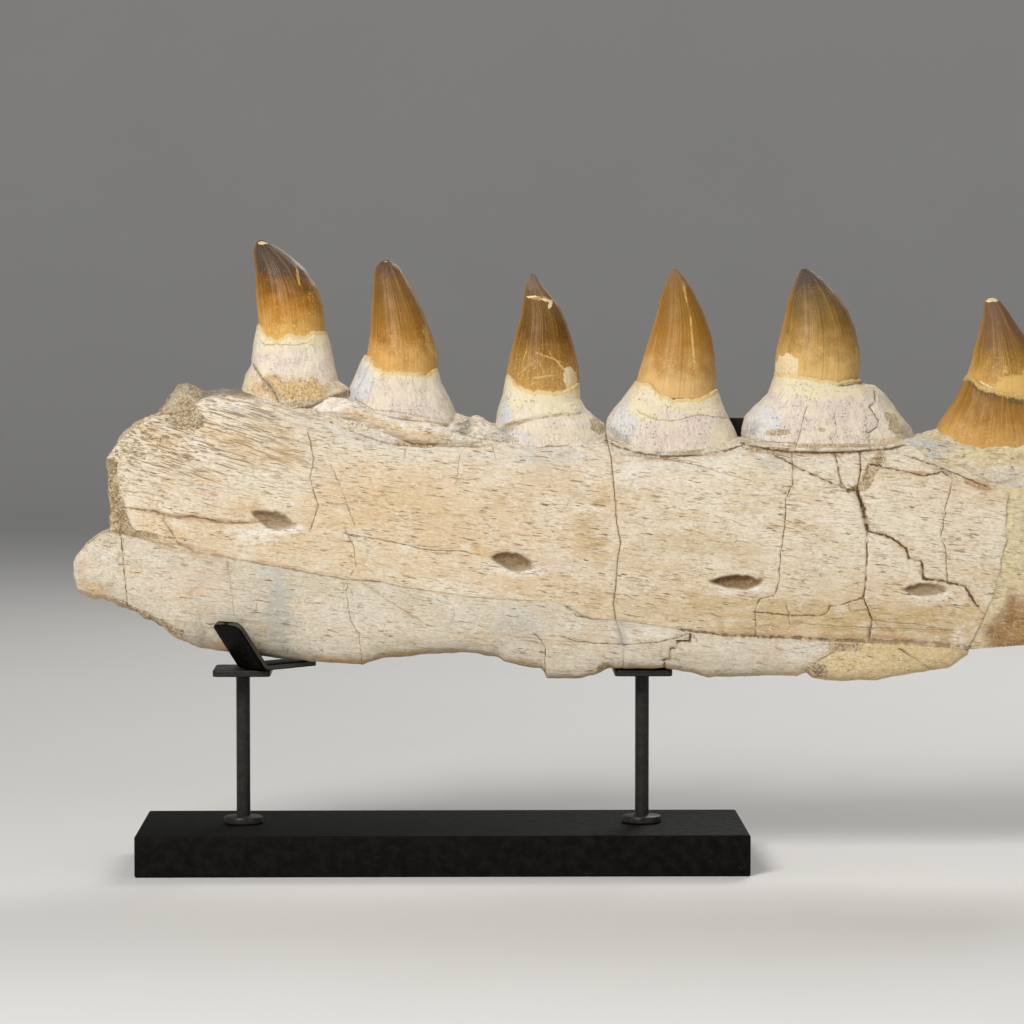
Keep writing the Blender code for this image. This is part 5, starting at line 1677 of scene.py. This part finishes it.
def make_stand():
    """The block, a foot, rod, saddle, tab and arm to the left and to the right, and the clip."""
    steel = paint_finish(
        "satin_black_steel", (0.018, 0.017, 0.015), roughness=0.34, gloss=0.16, grain_scale=0.5,
        worn_colour=(0.10, 0.095, 0.085), wear=0.0,
    )
    worn = paint_finish(
        "worn_black_steel", (0.003, 0.0027, 0.0023), roughness=0.26, gloss=0.02, grain_scale=0.7,
        worn_colour=(0.10, 0.09, 0.075), wear=-0.02,
    )
    lacquer = paint_finish(
        "black_lacquer", (0.005, 0.0047, 0.0042), roughness=0.60, gloss=0.03, grain_scale=0.2,
        worn_colour=(0.05, 0.048, 0.043), wear=-0.02,
    )

    def set_steel(kind, side, bm):
        set_down(f"{kind}_{side}", bm, steel, [f"stand_{kind}_{side}"])

    middle, size = middle_of("stand_base")
    block = plate(size, middle, corner=0.0, edge=BASE_EDGE, flat_axis=2)
    set_down("base_block", block, lacquer, ["stand_base"])
    for side in ("left", "right"):
        (x, y, z), (across_x, _, tall) = middle_of(f"stand_flange_{side}")
        low, high, radius = z - tall / 2, z + tall / 2, across_x / 2
        profile = [(0, low), (radius - 0.3, low), (radius, low + 0.3), (radius, high - 1.0),
                   (radius - 0.4, high - 0.3), (radius - 1.2, high), (ROD_RADIUS + 1.2, high),
                   (ROD_RADIUS + 0.3, high + 0.25), (ROD_RADIUS, high + 0.3), (0, high + 0.3)]
        set_steel("flange", side, turned(profile, x, y))
        (x, y, z), (_, _, tall) = middle_of(f"stand_rod_{side}")
        low, high = z - tall / 2, z + tall / 2
        profile = [(0, low), (ROD_RADIUS, low), (ROD_RADIUS, high - 1.6), (ROD_RADIUS + 0.5, high - 0.9),
                   (ROD_RADIUS + 1.3, high), (0, high)]
        set_steel("rod", side, turned(profile, x, y))
        for kind, corner, flat_axis in (("saddle", 3.0, 2), ("tab", 1.2, 1)):
            middle, size = middle_of(f"stand_{kind}_{side}")
            set_steel(kind, side, plate(size, middle, corner, PLATE_EDGE, flat_axis))
        arm_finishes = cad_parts[f"stand_arm_{side}"].data.materials
        arm_finishes.clear()
        arm_finishes.append(steel)
    make_clip(worn)


def make_clip(finish):
    """A flat strip that runs under the jaw and turns up and outwards before its outer wall."""
    ahead = np.array([math.sin(CLIP_HEADING), math.cos(CLIP_HEADING), 0.0])
    side = np.array([math.cos(CLIP_HEADING), -math.sin(CLIP_HEADING), 0.0])
    up = np.array([0.0, 0.0, 1.0])
    top_of_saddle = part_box("stand_saddle_left")[1].z / MM
    radius = PLATE / 2 + CLIP_INNER_BEND
    bend = np.array([*CLIP_BEND, top_of_saddle + CLIP_GAP + PLATE / 2])
    turning = math.pi / 2 - CLIP_SLOPE
    arc = radius * turning

    def shape(along, turn):
        end = 0.06  # share of the rows that closes each end
        share = np.clip((along - end) / (1 - 2 * end), 0, 1)
        closing = np.clip(np.minimum(along, 1 - along) / end, 0, 1)
        distance = share * (CLIP_FOOT + arc + CLIP_ARM)
        foot = np.clip(distance, 0, CLIP_FOOT)
        curve = np.clip(distance - CLIP_FOOT, 0, arc) / radius
        arm = np.clip(distance - CLIP_FOOT - arc, 0, CLIP_ARM)
        flat = CLIP_FOOT - foot - radius * np.sin(curve) - arm * np.cos(turning)
        high = radius * (1 - np.cos(curve)) + arm * np.sin(turning)
        spine = bend + flat[:, None] * ahead + high[:, None] * up
        normal = np.cos(curve)[:, None] * up + np.sin(curve)[:, None] * ahead
        angle = 2 * math.pi * turn
        left = CLIP_ARM - arm
        rounding = np.where(arm > 0, 1 - np.clip(1 - left / CLIP_CORNER, 0, 1) ** 2, 1.0)
        half = CLIP_WIDTH / 2 - CLIP_CORNER * (1 - np.sqrt(rounding))
        wide = squarish(np.cos(angle), 0.22) * half * closing ** 0.6
        thick = squarish(np.sin(angle), 0.30) * PLATE / 2 * closing ** 0.4
        points = spine + wide[:, None] * side + thick[:, None] * normal
        return points.T

    def relief(points, along, turn):
        return 0.05 * bumps(points, 5, 81)

    def marks(points, along, turn):
        # Its narrow side faces and edges: worn paint, and painted light where they catch the lamp.
        return {"rubbed": fade(np.abs(np.sin(2 * math.pi * turn)), 0.35, 0.12)}

    closed_skin("front_clip", 160, 120, shape, finish, "stand_steel", ["stand_clip_front"], relief, marks)


# ================================================================ room, light and camera
def make_room():
    """A pale floor that sweeps up into a wall all round."""
    made, tree, shader = new_material("studio_floor")
    place = in_mm(tree)
    cloudy = noise(tree, place, 0.004, 3.0)
    colour = mix_colour(tree, cloudy, (0.70, 0.69, 0.67), (0.74, 0.73, 0.71))
    tree.links.new(colour, shader.inputs["Base Color"])
    shader.inputs["Roughness"].default_value = 0.7
    profile = [(0.0, 0.0), (ROOM_FLAT, 0.0)]
    for step in range(1, ROOM_STEPS + 1):
        angle = math.pi / 2 * step / ROOM_STEPS
        profile.append((ROOM_FLAT + ROOM_CURVE * math.sin(angle), ROOM_CURVE * (1 - math.cos(angle))))
    mesh = mesh_from_mm("studio_floor", turned(profile, 0, 0, ROOM_SIDES))
    mesh.materials.append(made)
    mesh.shade_smooth()
    new_object("studio_floor", mesh)


def lamp(name, place, size, power, colour):
    """A round lamp turned to the jaw's middle."""
    data = bpy.data.lights.new(name, "AREA")
    data.shape = "DISK"
    data.size = size * MM
    data.energy = power
    data.color = colour
    made = new_object(name, data)
    made.location = Vector(place) * MM
    aim = Vector(LAMP_TARGET) * MM - made.location
    made.rotation_euler = aim.to_track_quat("-Z", "Y").to_euler()
    made.visible_camera = False


def make_light():
    """Soft light all round, a key from the upper left, a weak fill and a light from behind."""
    world = bpy.data.worlds.new("studio")
    world.use_nodes = True
    background = world.node_tree.nodes["Background"].inputs
    background["Color"].default_value = (0.97, 0.985, 1.0, 1.0)
    background["Strength"].default_value = ROOM_LIGHT
    bpy.context.scene.world = world
    lamp("key", (-900, -1600, 1450), size=900, power=45, colour=(1.0, 0.985, 0.96))
    lamp("fill", (1300, -1500, 700), size=1100, power=3.5, colour=(0.97, 0.985, 1.0))
    lamp("rear", (600, 1500, 1300), size=900, power=15, colour=(1.0, 0.99, 0.97))


def make_camera():
    """A long lens before the outer side."""
    data = bpy.data.cameras.new("camera")
    data.lens = LENS
    data.sensor_width = SENSOR
    data.clip_start = 0.05
    data.clip_end = 40.0
    camera = new_object("camera", data)
    camera.location = Vector(CAMERA_PLACE) * MM
    camera.rotation_euler = (math.pi / 2 - CAMERA_DOWN, 0.0, -CAMERA_RIGHT)
    bpy.context.scene.camera = camera
    bpy.context.scene.view_settings.view_transform = "Standard"


make_camera()
make_light()
make_room()
make_bones()
make_teeth()
make_lump()
make_stand()
